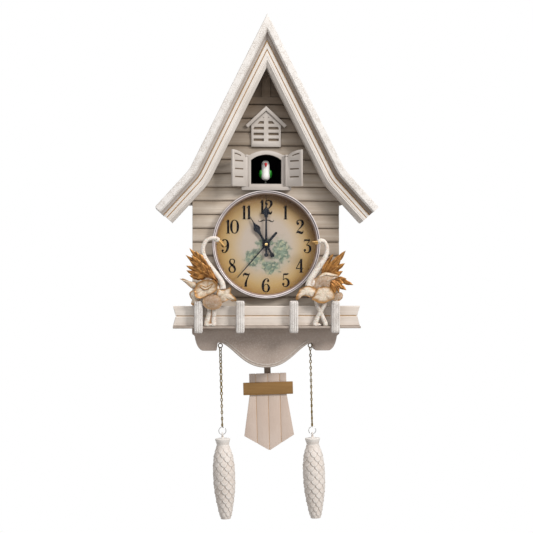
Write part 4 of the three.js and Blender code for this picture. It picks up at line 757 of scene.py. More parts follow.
def tubePoints(curve, radii, sides=16, flat=1.0):
    # rings round a curve of x, y, z; flat squeezes the tube front to back
    points = []
    count = len(curve)
    for i in range(count):
        ahead = curve[min(i + 1, count - 1)] - curve[max(i - 1, 0)]
        ahead = ahead / np.linalg.norm(ahead)
        side = np.cross(ahead, (0, 1, 0))
        if np.linalg.norm(side) < 0.2:
            side = np.cross(ahead, (1, 0, 0))
        side = side / np.linalg.norm(side)
        up = np.cross(side, ahead)
        for j in range(sides):
            turn = 2 * math.pi * j / sides
            points.append(tuple(curve[i] + radii[i] * (math.cos(turn) * side + flat * math.sin(turn) * up)))
    return points, loftFaces(count, sides)


def ballPoints(centre, size, across=24, down=16, turn=0.0):
    points = []
    c, s = math.cos(turn), math.sin(turn)
    for i in range(down + 1):
        lat = math.pi * i / down
        for j in range(across):
            lon = 2 * math.pi * j / across
            x = size[0] * math.sin(lat) * math.cos(lon)
            y = size[1] * math.sin(lat) * math.sin(lon)
            z = size[2] * math.cos(lat)
            points.append((centre[0] + c * x + s * z, centre[1] + y, centre[2] - s * x + c * z))
    return points, loftFaces(down + 1, across, caps=False)


def gather(parts):
    # joins (points, faces) pairs into one
    points, faces = [], []
    for partPoints, partFaces in parts:
        shift = len(points)
        points.extend(partPoints)
        faces.extend(tuple(k + shift for k in face) for face in partFaces)
    return points, faces


def boxPoints(x0, x1, y0, y1, z0, z1):
    points = [(x, y, z) for x in (x0, x1) for y in (y0, y1) for z in (z0, z1)]
    return points, [(0, 1, 3, 2), (4, 6, 7, 5), (0, 4, 5, 1), (2, 3, 7, 6), (0, 2, 6, 4), (1, 5, 7, 3)]


def platePoints(outline, y0, y1):
    count = len(outline)
    points = [(x, y0, z) for x, z in outline] + [(x, y1, z) for x, z in outline]
    faces = [tuple(range(count)), tuple(range(2 * count - 1, count - 1, -1))]
    faces += [(i, (i + 1) % count, (i + 1) % count + count, i + count) for i in range(count)]
    return points, faces


def turnedPoints(profile, centre, sides=128, axis="y"):
    # a profile of radius and place along the axis
    points = []
    for radius, along in profile:
        for j in range(sides):
            turn = 2 * math.pi * j / sides
            a, b = radius * math.cos(turn), radius * math.sin(turn)
            if axis == "y":
                points.append((centre[0] + a, centre[1] + along, centre[2] + b))
            else:
                points.append((centre[0] + a, centre[1] + b, centre[2] + along))
    return points, loftFaces(len(profile), sides, caps=False)


def ringPoints(centre, radius, wire, normal, sides=40, round=10):
    # a ring of wire whose face looks along normal
    normal = Vector(normal).normalized()
    u = normal.orthogonal().normalized()
    v = normal.cross(u)
    points, faces = [], []
    for i in range(sides):
        turn = 2 * math.pi * i / sides
        out = u * math.cos(turn) + v * math.sin(turn)
        for j in range(round):
            roll = 2 * math.pi * j / round
            points.append(tuple(
                Vector(centre) + out * (radius + wire * math.cos(roll)) + normal * (wire * math.sin(roll))))
    for i in range(sides):
        for j in range(round):
            a, b = i * round + j, i * round + (j + 1) % round
            c, d = ((i + 1) % sides) * round + (j + 1) % round, ((i + 1) % sides) * round + j
            faces.append((a, b, c, d))
    return points, faces


def offsetLine(line, distance):
    # moves an open x, z line to the right of its direction, with mitred corners
    line = np.array(line, float)
    steps = line[1:] - line[:-1]
    steps /= np.linalg.norm(steps, axis=1)[:, None]
    normals = np.stack([steps[:, 1], -steps[:, 0]], axis=1)
    before = np.vstack([normals[:1], normals])
    after = np.vstack([normals, normals[-1:]])
    share = distance / (1 + (before * after).sum(axis=1))
    return line + (before + after) * share[:, None]


def mouldingPoints(line, profile):
    # carries a closed profile of (inset, y, material) along a line
    rings = [offsetLine(line, inset) for inset, _, _ in profile]
    count, across = len(line), len(profile)
    points = [(rings[k][j][0], profile[k][1], rings[k][j][1]) for j in range(count) for k in range(across)]
    faces, marks = [], []
    for j in range(count - 1):
        for k in range(across):
            a, b = j * across + k, j * across + (k + 1) % across
            faces.append((a, b, b + across, a + across))
            marks.append(profile[k][2])
    faces += [tuple(range(across - 1, -1, -1)), tuple(range((count - 1) * across, count * across))]
    return points, faces, marks + [0, 0]


def remeshed(piece, voxel, rounds=5):
    # melts overlapping bodies into one skin
    mod = piece.modifiers.new("melt", "REMESH")
    mod.mode = "VOXEL"
    mod.voxel_size = voxel * mm
    soft = piece.modifiers.new("soft", "SMOOTH")
    soft.iterations = rounds
    soft.factor = 0.5
    bake(piece)
    smooth(piece, 180)


def keepValue(piece, name, values):
    kept = piece.data.attributes.new(name, "FLOAT", "POINT")
    kept.data.foreach_set("value", np.asarray(values, dtype=np.float32))


def markHollows(piece, gain, rounds=6):
    # keeps on each point how far it lies in a hollow (1) or on a ridge (0)
    mesh = piece.data
    count = len(mesh.vertices)
    place = np.empty(count * 3)
    mesh.vertices.foreach_get("co", place)
    place = place.reshape(-1, 3)
    normal = np.empty(count * 3)
    mesh.vertices.foreach_get("normal", normal)
    normal = normal.reshape(-1, 3)
    ends = np.empty(len(mesh.edges) * 2, dtype=np.int64)
    mesh.edges.foreach_get("vertices", ends)
    a, b = ends.reshape(-1, 2).T
    share = np.zeros(count)
    np.add.at(share, a, 1)
    np.add.at(share, b, 1)
    share = np.maximum(share, 1)

    def average(values):
        total = np.zeros_like(values)
        np.add.at(total, a, values[b])
        np.add.at(total, b, values[a])
        return total / (share[:, None] if values.ndim > 1 else share)

    wide = place
    for _ in range(rounds):
        wide = average(wide)
    depth = ((wide - place) * normal).sum(axis=1)
    depth = average(depth)
    keepValue(piece, "hollow", np.clip(0.5 + depth / mm * gain, 0, 1))


# ---------- house ----------

houseSet = {
    "halfWidth": 105.0,
    "bottom": -311.0,
    "apex": 135.0,
    "breakPoint": (110.0, -85.5),
    "eaveTip": (158.0, -138.0),
    "bend": 13.0,  # length of the soft turn between rake and eave
    "depth": 105.0,
    "band": 9.7,
    "board": 15.7,
    "trim": 17.0,
    "trimFront": -97.3,
    "trimBack": -70.3,
    "goldWidth": 0.95,
    "sidingTop": 10.0,
    "sidingPitch": 19.7,
    "sidingBulge": 3.5,
    "wallFace": -66.5,
    "wallDepth": 4.2,
    "rows": 17,
    "roofGap": 0.3,
    "dialHole": 77.3,
    "seatFront": -68.0,
}


def roofLine(bendSteps=10):
    s = houseSet
    apex, turn, tip = np.array((0, s["apex"])), np.array(s["breakPoint"]), np.array(s["eaveTip"])
    rake = (turn - apex) / np.linalg.norm(turn - apex)
    eave = (tip - turn) / np.linalg.norm(tip - turn)
    start, end = turn - rake * s["bend"] / 2, turn + eave * s["bend"] / 2
    right = [start * (1 - t) ** 2 + 2 * t * (1 - t) * turn + end * t * t for t in np.linspace(0, 1,
        bendSteps)]
    right.append(tip)
    left = [(-x, z) for x, z in reversed(right)]
    return np.array(left + [tuple(apex)] + [tuple(p) for p in right])


def makeRoof():
    s = houseSet
    line = roofLine()
    front = -s["depth"]
    band, board = s["band"], s["board"]
    profile = [
        (0, 0, 0), (0, front + 1.2, 0), (0.5, front + 0.3, 0), (1.3, front, 0), (band - 0.9, front, 0),
        (band - 0.2, front + 0.4, 0),
        (band + 1.6, front + 3.6, 1), (board - 2.4, front + 7.0, 1), (board, front + 8.0, 1), (board, 0, 0),
    ]
    points, faces, marks = mouldingPoints(line, profile)
    addPiece("roofShell", points, faces, ["roofPaint", "coveShadePaint"], "clock", ["roof_shell"], marks,
        angle=28)
    outer, inner = board + s["roofGap"], board + s["roofGap"] + s["trim"]
    back, y, goldWidth = s["trimBack"], s["trimFront"], s["goldWidth"]
    first, second = outer + 0.25, outer + 5.9
    profile = [
        (outer, back, 0), (outer, y + 1.4, 0), (first, y + 1.2, 1), (first + goldWidth, y + 1.2, 0),
        (first + goldWidth + 0.15, y + 0.45, 0), (first + goldWidth + 0.5, y + 0.1, 0),
        (second - 0.5, y + 0.1, 0), (second - 0.1, y + 0.5, 0),
        (second, y + 1.2, 1), (second + goldWidth, y + 1.2, 0), (second + goldWidth + 0.15, y + 0.4, 0),
        (second + goldWidth + 0.5, y, 0),
        (second + 4.6, y, 0), (second + 5.0, y + 0.6, 0), (second + 5.6, y + 0.6, 0),
        (second + 5.9, y + 0.2, 0), (second + 6.6, y + 0.1, 0),
        (inner - 0.8, y + 4.6, 0), (inner - 0.1, y + 5.6, 0), (inner, y + 7.0, 0), (inner, back, 0),
    ]
    points, faces, marks = mouldingPoints(line, profile)
    addPiece("roofTrim", points, faces, ["trimPaint", "goldLine"], "clock", ["roof_trim"], marks, angle=28)


def houseOutline(inset):
    s = houseSet
    line = offsetLine(roofLine(), inset)
    right = line[(len(line) - 1) // 2 :]
    under = []
    for (x0, z0), (x1, z1) in zip(right[:-1], right[1:]):
        under.append((x0, z0))
        if x1 >= s["halfWidth"]:
            under.append((s["halfWidth"], z0 + (z1 - z0) * (s["halfWidth"] - x0) / (x1 - x0)))
            break
    side = under + [(s["halfWidth"], s["bottom"])]
    return side + [(-x, z) for x, z in reversed(side[1:])]


def cutter(points, faces):
    mesh = bpy.data.meshes.new("cutter")
    mesh.from_pydata([(x * mm, y * mm, z * mm) for x, y, z in points], [], faces)
    work = bmesh.new()
    work.from_mesh(mesh)
    bmesh.ops.recalc_face_normals(work, faces=work.faces)
    work.to_mesh(mesh)
    work.free()
    made = bpy.data.objects.new("cutter", mesh)
    bpy.context.collection.objects.link(made)
    return made


def carve(piece, tools, operation="DIFFERENCE"):
    for tool in tools:
        mod = piece.modifiers.new("carve", "BOOLEAN")
        mod.operation = operation
        mod.object = tool
        mod.solver = "EXACT"
    bake(piece)
    for tool in tools:
        bpy.data.objects.remove(tool, do_unlink=True)


def trimToRoof(piece):
    # keeps what lies inside the roof and the sides
    outline = houseOutline(houseSet["board"] + houseSet["roofGap"])
    carve(piece, [cutter(*platePoints(outline, -90, -40))], "INTERSECT")


def makeWall():
    s = houseSet
    face, bulge, pitch = s["wallFace"], s["sidingBulge"], s["sidingPitch"]
    profile = [(face + s["wallDepth"], s["sidingTop"])]
    shape = [(0.0, 0.05), (0.025, 0.34), (0.08, 0.52), (0.18, 0.68), (0.32, 0.82), (0.5, 0.93),
        (0.68, 0.99), (0.82, 1.0), (0.91, 0.95), (0.965, 0.8), (0.99, 0.5), (1.0, 0.05)]
    for row in range(s["rows"]):
        top = s["sidingTop"] - row * pitch
        for along, out in shape:
            z = top - pitch * along
            if z > s["bottom"] + 0.5:
                profile.append((face - bulge * out, z))
    profile.append((face - bulge * 0.05, s["bottom"]))
    profile.append((face + s["wallDepth"], s["bottom"]))
    count = len(profile)
    half = s["halfWidth"]
    points = [(x, y, z) for x in (-half, half) for y, z in profile]
    faces = [tuple(range(count)), tuple(range(2 * count - 1, count - 1, -1))]
    faces += [(i, i + count, (i + 1) % count + count, (i + 1) % count) for i in range(count)]
    wall = addPiece("houseWall", points, faces, "sidingPaint", "clock", ["front_wall"], angle=35)
    dial = cutter(*turnedPoints([(0.01, -20), (s["dialHole"], -20), (s["dialHole"], 20), (0.01, 20)],
        (0, face, dialSet["centre"]),
        128))
    window = cutter(*platePoints(archOutline(*windowSet["opening"], 16), -90, -50))
    frameSeat = cutter(*platePoints(archOutline(*windowSet["frameSeat"], 24), -90, s["seatFront"]))
    ventSeat = cutter(*platePoints([(-21.6, -51.1), (21.6, -51.1), (21.6, -19.0), (0, 1.0), (-21.6, -19.0)],
        -90, s["seatFront"]))
    carve(wall, [dial, window, frameSeat, ventSeat])
    trimToRoof(wall)
    smooth(wall, 35)
    # the gable above the siding: a flat panel with a beam and a post
    top = s["sidingTop"]
    gable = addPiece("gablePanel", *platePoints([(-60, top), (60, top), (60, 100), (-60, 100)],
        face + s["wallDepth"],
        face), "sidingPaint", "clock")
    trimToRoof(gable)
    beams = gather([
        boxPoints(-70, 70, face - 3, face + 0.5, top + 1, top + 10.6),
        boxPoints(-6, 6, face - 2.9, face + 0.5, top + 10.6, 99),
    ])
    brace = addPiece("gableBrace", *beams, "sidingPaint", "clock")
    trimToRoof(brace)
    easeEdges(brace, 0.7, 3, angle=50)


def archHeight(x, halfWidth, spring, top):
    rise = top - spring
    radius = (halfWidth**2 + rise**2) / (2 * rise)
    return top - radius + math.sqrt(max(radius**2 - x**2, 0))


def archOutline(halfWidth, bottom, spring, top, steps):
    arc = [(halfWidth * (1 - 2 * i / steps), archHeight(halfWidth * (1 - 2 * i / steps), halfWidth, spring,
        top)) for i in range(steps + 1)]
    return [(-halfWidth, bottom), (halfWidth, bottom)] + arc


windowSet = {
    # half width, foot, spring and crown of each arch
    "opening": (23.8, -107.2, -66.2, -58.6), "frameSeat": (28.5, -108.6, -65.2, -56.1),
    "shutterEase": 0.35, "frameEase": 0.8, "ventEase": 0.4,
    "shutterAxis": (28.8, -79.4), "shutterOpen": 41.0, "shutterThickness": 2.8,
    "chamberHalf": 23.2, "chamberFoot": -106.8, "chamberBack": -24.6,
}


def makeWindow():
    w = windowSet
    softened("gable_vent", "gableVent", "windowPaint", "clock", w["ventEase"],
        slots=((0, -72.5, 0), (0, -1, 0), 2.0))
    softened("vent_roof", "ventRoof", "windowPaint", "clock", 0.6)
    softened("window_frame", "windowFrame", "windowPaint", "clock", w["frameEase"], 3)
    for side, name in ((-1, "left"), (1, "right")):
        a = math.radians(w["shutterOpen"])
        outward = (-side * math.sin(a), -math.cos(a), 0)
        x, y = side * w["shutterAxis"][0], w["shutterAxis"][1]
        half = w["shutterThickness"] / 2
        start = (x + outward[0] * half, y + outward[1] * half, -80)
        softened("shutter_" + name, "shutter" + name.title(), "windowPaint", name + "_shutter",
            w["shutterEase"], slots=(start, outward, 0.8))
    softened("case_shell", "caseShell", "sidePaint", "clock", 0.6)
    # a black room behind the window, arched like the frame
    half, foot = w["chamberHalf"], w["chamberFoot"]
    room = addPiece("cuckooRoom", *platePoints(archOutline(half, foot, -66.6, -59.2, 16), -67.6,
        w["chamberBack"]), "chamberBlack", "clock", ["bird_chamber"])
    hollow = cutter(*platePoints(archOutline(half - 1.2, foot + 1.2, -67.4, -60.4, 16), -80,
        w["chamberBack"] - 1.2))
    stemSlot = cutter(*boxPoints(-1.8, 1.8, -57.8, -36.2, foot - 2, foot + 3))
    carve(room, [hollow, stemSlot])
    smooth(room, 30)
    print("house made")


# ---------- cuckoo ----------

birdSet = {"y": -59.0}


def makeBird():
    y = birdSet["y"]
    profile = [(0.05, -69.4), (2.6, -69.9), (4.6, -71.4), (5.6, -74.0), (5.8, -77.0), (5.7, -80.4),
        (5.8, -84.0), (6.1, -87.6), (6.3, -91.0), (5.9, -94.2), (4.8, -96.6), (2.6, -98.0), (0.05, -98.4)]
    smoothProfile = smoothCurve(profile, 4)
    points, faces = turnedPoints([(max(r, 0.02), z) for r, z in smoothProfile], (0, y, 0), 36, "z")
    addPiece("cuckooBody", points, faces, "birdWhite", "cuckoo", ["cuckoo_body"], angle=180)
    beak = []
    for z, halfWidth, out in [(-72.5, 0.3, -5.2), (-73.2, 1.7, -6.2), (-74.6, 2.4, -7.4),
        (-76.2, 2.0, -8.2), (-78.0, 1.1, -8.4), (-79.6, 0.2, -7.8)]:
        for j in range(12):
            turn = 2 * math.pi * j / 12
            beak.append((halfWidth * math.cos(turn), y + out * 0.86 + halfWidth * math.sin(turn) * 1.2, z))
    addPiece("cuckooBeak", beak, loftFaces(6, 12), "birdRed", "cuckoo", ["cuckoo_beak"], angle=180)
    wings = []
    for side in (-1, 1):
        for dx, dz, dy, length in [(6.4, -88.0, 0.5, 5.2), (6.9, -89.6, 1.6, 4.6), (6.2, -91.4, 2.8, 4.0)]:
            wings.append(ballPoints((side * dx, y + dy, dz), (2.6, 3.8, length), 18, 12, side * 0.14))
    wings.append(ballPoints((0, y + 5.4, -89.5), (5.6, 3.2, 5.4), 20, 12))
    wings.append(ballPoints((0, y + 8.5, -94.0), (2.8, 3.0, 4.0), 16, 10))
    points, faces = gather(wings)
    addPiece("cuckooWings", points, faces, "birdGreen", "cuckoo", ["cuckoo_wings"], angle=180)
    eyes = gather([ballPoints((side * 4.3, y - 3.6, -74.6), (0.75, 0.6, 0.85), 12, 8) for side in (-1, 1)])
    addPiece("cuckooEyes", *eyes, "inkBlack", "cuckoo", angle=180)
    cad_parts["cuckoo_carriage"].data.materials[0] = finishes["stemGrey"]


# ---------- dial ----------

dialSet = {
    "centre": -190.5,
    "face": -68.2,
    "numberRing": 56.0,
    "numberDrop": 2.4,  # the ring of numbers sits a little low
    "numberHeight": 19.8,
    "dotRing": 70.4,
    "hub": (0.0, -190.5),
    "sideReach": 3.0,  # the three and the nine sit further out
    "bold": 1.18,
    "bouquet": [(22, -10, 13, 20), (-17, -20, 15, 14), (7, -32, 14, 11), (-2, 2, 13, 8)],
}

# strokes of a 20-high number: c curved and s straight, with points of x, height and width;
# d is a dot, with x, height and radius
strokes = {
    "0": [("c", [(0, 19.7, 0.8), (-2.8, 18.2, 1.5), (-4.4, 14.6, 2.5), (-4.8, 9.9, 3.0), (-4.4, 5.2, 2.5),
        (-2.8, 1.7, 1.5), (0, 0.3, 0.8), (2.8, 1.7, 1.5), (4.4, 5.2, 2.5), (4.8, 9.9, 3.0),
        (4.4, 14.6, 2.5),
        (2.8, 18.2, 1.5), (0, 19.7, 0.8)])],
    "1": [("s", [(0.2, 0.2, 2.7), (0.2, 19.9, 2.7)]), ("c",
        [(0.2, 19.4, 1.1), (-1.2, 17.6, 1.0), (-3.2, 16.6, 0.6)]), ("s",
        [(-2.6, 0.35, 0.7), (3.0, 0.35, 0.7)])],
    "2": [("c", [(-2.6, 14.2, 2.6), (-4.1, 15.6, 1.4), (-3.2, 18.4, 1.2), (0.2, 19.7, 1.2),
        (3.6, 18.0, 2.6), (4.3, 14.4, 3.1), (2.4, 10.4, 1.8), (-1.4, 6.2, 0.8), (-4.4, 1.9, 0.7)]),
        ("c", [(-4.9, 0.9, 1.0), (-2.6, 2.5, 2.5), (0.8, 1.5, 3.0), (3.4, 1.0, 2.4), (5.2, 4.2, 0.6)]),
        ("d", (-2.7, 14.5, 2.0))],
    "3": [("s", [(-4.0, 18.8, 1.9), (4.4, 18.8, 1.9)]), ("s", [(-4.0, 19.3, 0.8), (-4.2, 15.8, 0.5)]),
        ("s", [(4.1, 18.9, 0.8), (-0.8, 11.6, 0.8)]), ("c",
        [(-0.9, 11.4, 0.8), (2.2, 11.2, 1.5), (4.4, 8.6, 2.7), (4.4, 4.4, 2.8), (2.4, 1.1, 1.6),
        (-0.6, 0.5, 0.9), (-3.2, 1.8, 0.9), (-4.0, 3.8, 1.0)]), ("d", (-3.1, 4.3, 1.8))],
    "4": [("s", [(2.2, 19.6, 1.1), (-5.0, 6.3, 0.9)]), ("s", [(-5.6, 5.9, 1.1), (5.2, 5.9, 1.1)]),
        ("s", [(2.1, 0.3, 2.8), (2.1, 19.8, 2.6)]), ("s", [(-0.8, 0.35, 0.7), (5.0, 0.35, 0.7)])],
    "5": [("c", [(-2.9, 18.6, 1.6), (0.4, 18.4, 2.2), (3.4, 18.9, 1.6), (4.4, 20.0, 0.5)]),
        ("s", [(-2.8, 19.2, 0.8), (-3.4, 10.0, 0.8)]), ("c",
        [(-3.4, 9.9, 0.7), (-0.8, 12.0, 1.0), (2.6, 11.0, 2.1), (4.4, 7.8, 2.8), (4.2, 4.0, 2.7),
        (2.2, 1.1, 1.6), (-0.6, 0.5, 0.9), (-3.2, 1.8, 0.9), (-4.0, 3.8, 1.0)]), ("d", (-3.1, 4.3, 1.8))],
    "6": [("c", [(3.9, 16.4, 1.2), (3.2, 18.6, 0.9), (1.0, 19.5, 0.9), (-2.2, 17.4, 2.0), (-4.2, 12.6, 2.8),
        (-4.5, 7.0, 3.0), (-3.2, 2.2, 2.0), (0, 0.4, 0.9), (3.0, 2.0, 2.0), (4.3, 5.8, 2.8),
        (3.4, 9.6, 2.0),
        (0.8, 11.6, 0.9), (-2.0, 10.2, 0.8), (-3.6, 7.6, 0.7)]), ("d", (3.1, 16.3, 1.7))],
    "7": [("c", [(-4.6, 15.2, 0.8), (-4.0, 18.2, 1.6), (-1.8, 18.9, 2.8), (1.2, 17.9, 2.4),
        (3.4, 18.4, 1.4), (4.8, 19.6, 0.8)]), ("c",
        [(4.7, 19.4, 0.8), (2.2, 14.4, 1.2), (0.0, 9.0, 2.0), (-1.0, 4.4, 2.9), (-1.0, 0.3, 3.2)])],
    "8": [("c", [(0.2, 10.9, 2.8), (-2.5, 13.4, 2.5), (-3.4, 16.2, 1.8), (-2.4, 18.7, 1.2), (0, 19.6, 0.9),
        (2.5, 18.7, 1.2), (3.4, 16.3, 1.5), (2.4, 13.2, 1.0), (0, 10.9, 0.8), (-2.8, 8.4, 1.2),
        (-4.3, 5.2, 1.9), (-3.0, 1.6, 1.5), (0, 0.4, 0.9), (3.1, 1.5, 1.5), (4.2, 4.6, 2.2),
        (2.9, 8.2, 2.8),
        (0.2, 10.9, 2.8)])],
}
strokes["9"] = [(kind, [(-x, 20 - z, w) for x, z, w in data] if kind != "d" else (-data[0], 20 - data[1],
    data[2])) for kind, data in strokes["6"]]
# how far each number moves the pen on
advance = dict.fromkeys("3456789", 9.4) | {"0": 12.0, "1": 7.0, "2": 11.0}


def inkStroke(kind, data, shift, lift):
    # one pen stroke of a number, as flat faces on the dial
    if kind == "d":
        x, z, radius = data
        ring = [(shift[0] + x + radius * math.cos(t), lift,
            shift[1] + z + radius * math.sin(t)) for t in np.linspace(0, 2 * math.pi, 20, endpoint=False)]
        return ring, [tuple(range(20))]
    line = smoothCurve(data, 6) if kind == "c" else np.array(data, float)
    count = len(line)
    points, faces = [], []
    for i in range(count):
        ahead = line[min(i + 1, count - 1), :2] - line[max(i - 1, 0), :2]
        ahead = ahead / max(np.linalg.norm(ahead), 1e-6)
        side = np.array((-ahead[1], ahead[0])) * (line[i, 2] * dialSet["bold"] + 0.15) / 2
        for sign in (1, -1):
            x, z = line[i, :2] + sign * side
            points.append((shift[0] + x, lift, shift[1] + z))
    faces = [(2 * i, 2 * i + 1, 2 * i + 3, 2 * i + 2) for i in range(count - 1)]
    return points, faces


def makeNumbers():
    s = dialSet
    scale = s["numberHeight"] / 20
    parts = []
    layer = 0
    for hour in range(1, 13):
        text = str(hour)
        turn = math.radians(30 * hour)
        reach = s["numberRing"] + (s["sideReach"] if hour in (3, 9) else 0)
        cx = reach * math.sin(turn)
        cz = s["centre"] - s["numberDrop"] + s["numberRing"] * math.cos(turn)
        width = sum(advance[c] for c in text)
        at = -width / 2
        for c in text:
            step = advance[c]
            for kind, data in strokes[c]:
                layer += 1
                lift = s["face"] - 0.05 - 0.004 * (layer % 6)
                points, faces = inkStroke(kind, data, (at + step / 2, -10), lift)
                parts.append(([(cx + x * scale, y, cz + z * scale) for x, y, z in points], faces))
            at += step
    for minute in range(60):
        turn = math.radians(6 * minute)
        radius = 0.75 if minute % 5 == 0 else 0.4
        cx, cz = s["dotRing"] * math.sin(turn), s["centre"] + s["dotRing"] * math.cos(turn)
        ring = [(cx + radius * math.cos(t), s["face"] - 0.05,
            cz + radius * math.sin(t)) for t in np.linspace(0, 2 * math.pi, 12, endpoint=False)]
        parts.append((ring, [tuple(range(12))]))
    # a small scroll under the twelve
    for side in (-1, 1):
        curve = [(side * 0.6, 0, 0.5), (side * 3.0, 1.5, 1.0), (side * 6.0, 0.3, 1.3),
            (side * 9.0, -0.9, 0.9), (side * 11.4, 0.5, 0.4), (side * 10.4, 1.5, 0.4)]
        parts.append(inkStroke("c", curve, (0, s["centre"] + 33.6), s["face"] - 0.06))
    parts.append(inkStroke("d", (0, 0.3, 1.2), (0, s["centre"] + 33.6), s["face"] - 0.07))
    addPiece("dialNumbers", *gather(parts), "inkBlack", "clock")


def handOutline(values, steps=7):
    right = smoothCurve(values, steps)
    return [(x, z) for x, z in right] + [(-x, z) for x, z in reversed(right)]


handSet = {
    "thickness": 0.62, "hourTurn": 330.0, "minuteTurn": 0.0, "secondTurn": 221.0,
    "hourBack": -71.1, "minuteBack": -72.7, "secondBack": -74.4, "capBack": -75.0, "needle": 0.5,
}


def layHand(outline, holes, y, turn, thickness, name, body, hides):
    # a flat hand, cut out pointing up and turned clockwise
    points, faces = platePoints(outline, y, y - thickness)
    extra = [turnedPoints([(0.02, -thickness - 0.08), (r - 0.3, -thickness - 0.08), (r, -thickness + 0.15),
        (r, 0)], (x, y, z), 32) for x, z, r in holes]
    points, faces = gather([(points, faces)] + extra)
    a = math.radians(turn)
    c, s = math.cos(a), math.sin(a)
    hub = dialSet["hub"]
    placed = [(hub[0] + x * c + z * s, py, hub[1] - x * s + z * c) for x, py, z in points]
    return addPiece(name, placed, faces, "handBlack", body, hides, angle=30)


def makeHands():
    h = handSet
    spade = [(0.35, 46.5), (0.6, 40.0), (1.0, 35.5), (2.4, 32.0), (4.4, 28.6), (5.0, 25.6), (4.0, 23.0),
        (2.6, 21.4), (2.8, 19.8), (1.8, 17.6), (1.55, 14.0), (1.75, 8.0), (2.1, 0.0), (1.75, -8.0),
        (1.5, -15.5)]
    layHand(handOutline(spade), [(0, 0, 4.4), (0, -17.6, 3.3)], h["hourBack"], h["hourTurn"],
        h["thickness"],
        "hourHand", "hour", ["hour_hand"])
    spade = [(0.3, 68.0), (0.5, 61.0), (0.9, 55.0), (2.2, 51.8), (4.5, 48.4), (5.0, 45.6), (4.0, 43.2),
        (2.4, 41.8), (2.7, 40.4), (1.5, 38.4), (1.25, 34.0), (1.5, 18.0), (2.0, 0.0), (1.55, -8.0),
        (1.3, -13.0)]
    layHand(handOutline(spade), [(0, 0, 3.6), (0, -15.0, 2.9)], h["minuteBack"], h["minuteTurn"],
        h["thickness"],
        "minuteHand", "minute", ["minute_hand"])
    needle = [(0.6, 63.0), (0.8, 30.0), (1.0, 0.0), (1.05, -3.0), (1.6, -6.0), (1.8, -12.0), (1.8, -20.0),
        (1.55, -22.4), (0.6, -23.2)]
    layHand(handOutline(needle), [(0, 0, 3.2)], h["secondBack"], h["secondTurn"], h["needle"], "secondHand",
        "sweep",
        ["second_hand"])
    hub = turnedPoints([(0.02, -0.6), (1.4, -0.55), (2.0, -0.3), (2.2, 0.1), (2.2, 0.5)],
        (0, h["capBack"], dialSet["centre"]), 40)
    addPiece("hubCap", *hub, "hubBrass", "sweep", angle=60)


def makeDial():
    s = dialSet
    centre = (0, 0, s["centre"])
    card = turnedPoints([(4.3, s["face"]), (20, s["face"]), (50, s["face"]), (74.2, s["face"]),
        (74.2, -66.8), (4.3, -66.8)], centre, 128)
    addPiece("dialCard", *card, "dialPrint", "clock", ["dial_plate"], angle=30)
    # mark 2, the inner slope, takes a dark tan as painted shade; mark 1 is the painted shadow line
    rim = [
        (74.6, -66.8, 0), (77.0, -66.8, 0), (77.0, -80.9, 0), (76.8, -81.6, 0), (76.4, -82.0, 0),
        (75.9, -82.0, 0), (75.5, -81.6, 1), (74.9, -80.9, 1),
        (74.5, -80.5, 0), (73.9, -80.4, 0), (73.2, -79.8, 2), (72.6, -78.9, 2), (71.9, -78.1, 2),
        (71.3, -77.3, 2), (71.2, -77.2, 1), (74.6, -77.3, 1), (74.6, -66.8, 0),
    ]
    points, faces = turnedPoints([(r, y) for r, y, _ in rim], centre, 160)
    marks = [rim[i][2] for i in range(len(rim) - 1) for _ in range(160)]
    addPiece("dialRim", points, faces, ["mauveRim", "rimShadow", "rimInnerShade"], "clock", ["dial_bezel"], marks,
        angle=50, weld=True)
    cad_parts["dial_glass"].data.materials[0] = finishes["clearGlass"]
    makeNumbers()
    makeHands()
    print("dial made")


# ---------- balcony and base ----------

balconySet = {"halfLength": 133.0, "top": -277.9, "bottom": -306.2, "front": -90.3, "hollow": 3.8,
    "posts": (-97, -38, 38, 97), "postTop": -270.5, "postFoot": -316.0}


def makeRail():
    b = balconySet
    mid = (b["top"] + b["bottom"]) / 2
    rows = [(b["top"], mid + 0.45), (mid - 0.45, b["bottom"])]
    for index, (top, bottom) in enumerate(rows):
        # each board is hollowed at its ends like a half-round slip
        points = []
        stations = 26
        section = [(0.0, -0.9), (0.035, -0.25), (0.10, 0.0), (0.20, 0.0), (0.225, 0.32), (0.25, 0.0),
            (0.5, -0.06), (0.76, 0.0), (0.785, 0.3), (0.81, 0.0), (0.90, 0.0), (0.965, -0.25), (1.0, -0.9)]
        height = top - bottom
        for k in range(stations + 1):
            x = -1 + 2 * k / stations
            for share, dip in section:
                level = (b["top"] - (top - share * height)) / (b["top"] - b["bottom"])
                reach = b["halfLength"] - b["hollow"] * (1 - abs(2 * level - 1) ** 1.6)
                points.append((x * reach, b["front"] - min(dip, 0) + max(dip, 0), top - share * height))
            points.append((x * reach, b["front"] + 4.3, bottom))
            points.append((x * (b["halfLength"] - b["hollow"] * index), b["front"] + 4.3, top))
        across = len(section) + 2
        faces = loftFaces(stations + 1, across)
        addPiece("railBoard%d" % (index + 1), points, faces, "railPaint", "clock",
            ["balcony_rail"] if index == 0 else [], angle=30)
    groove = boxPoints(-b["halfLength"] + 5, b["halfLength"] - 5, b["front"] + 0.9, b["front"] + 4.2,
        mid - 0.6, mid + 0.6)
    addPiece("railGroove", *groove, "goldLine", "clock")
    softened("balcony_deck", "balconyDeck", "deckShadePaint", "clock", 0.5)


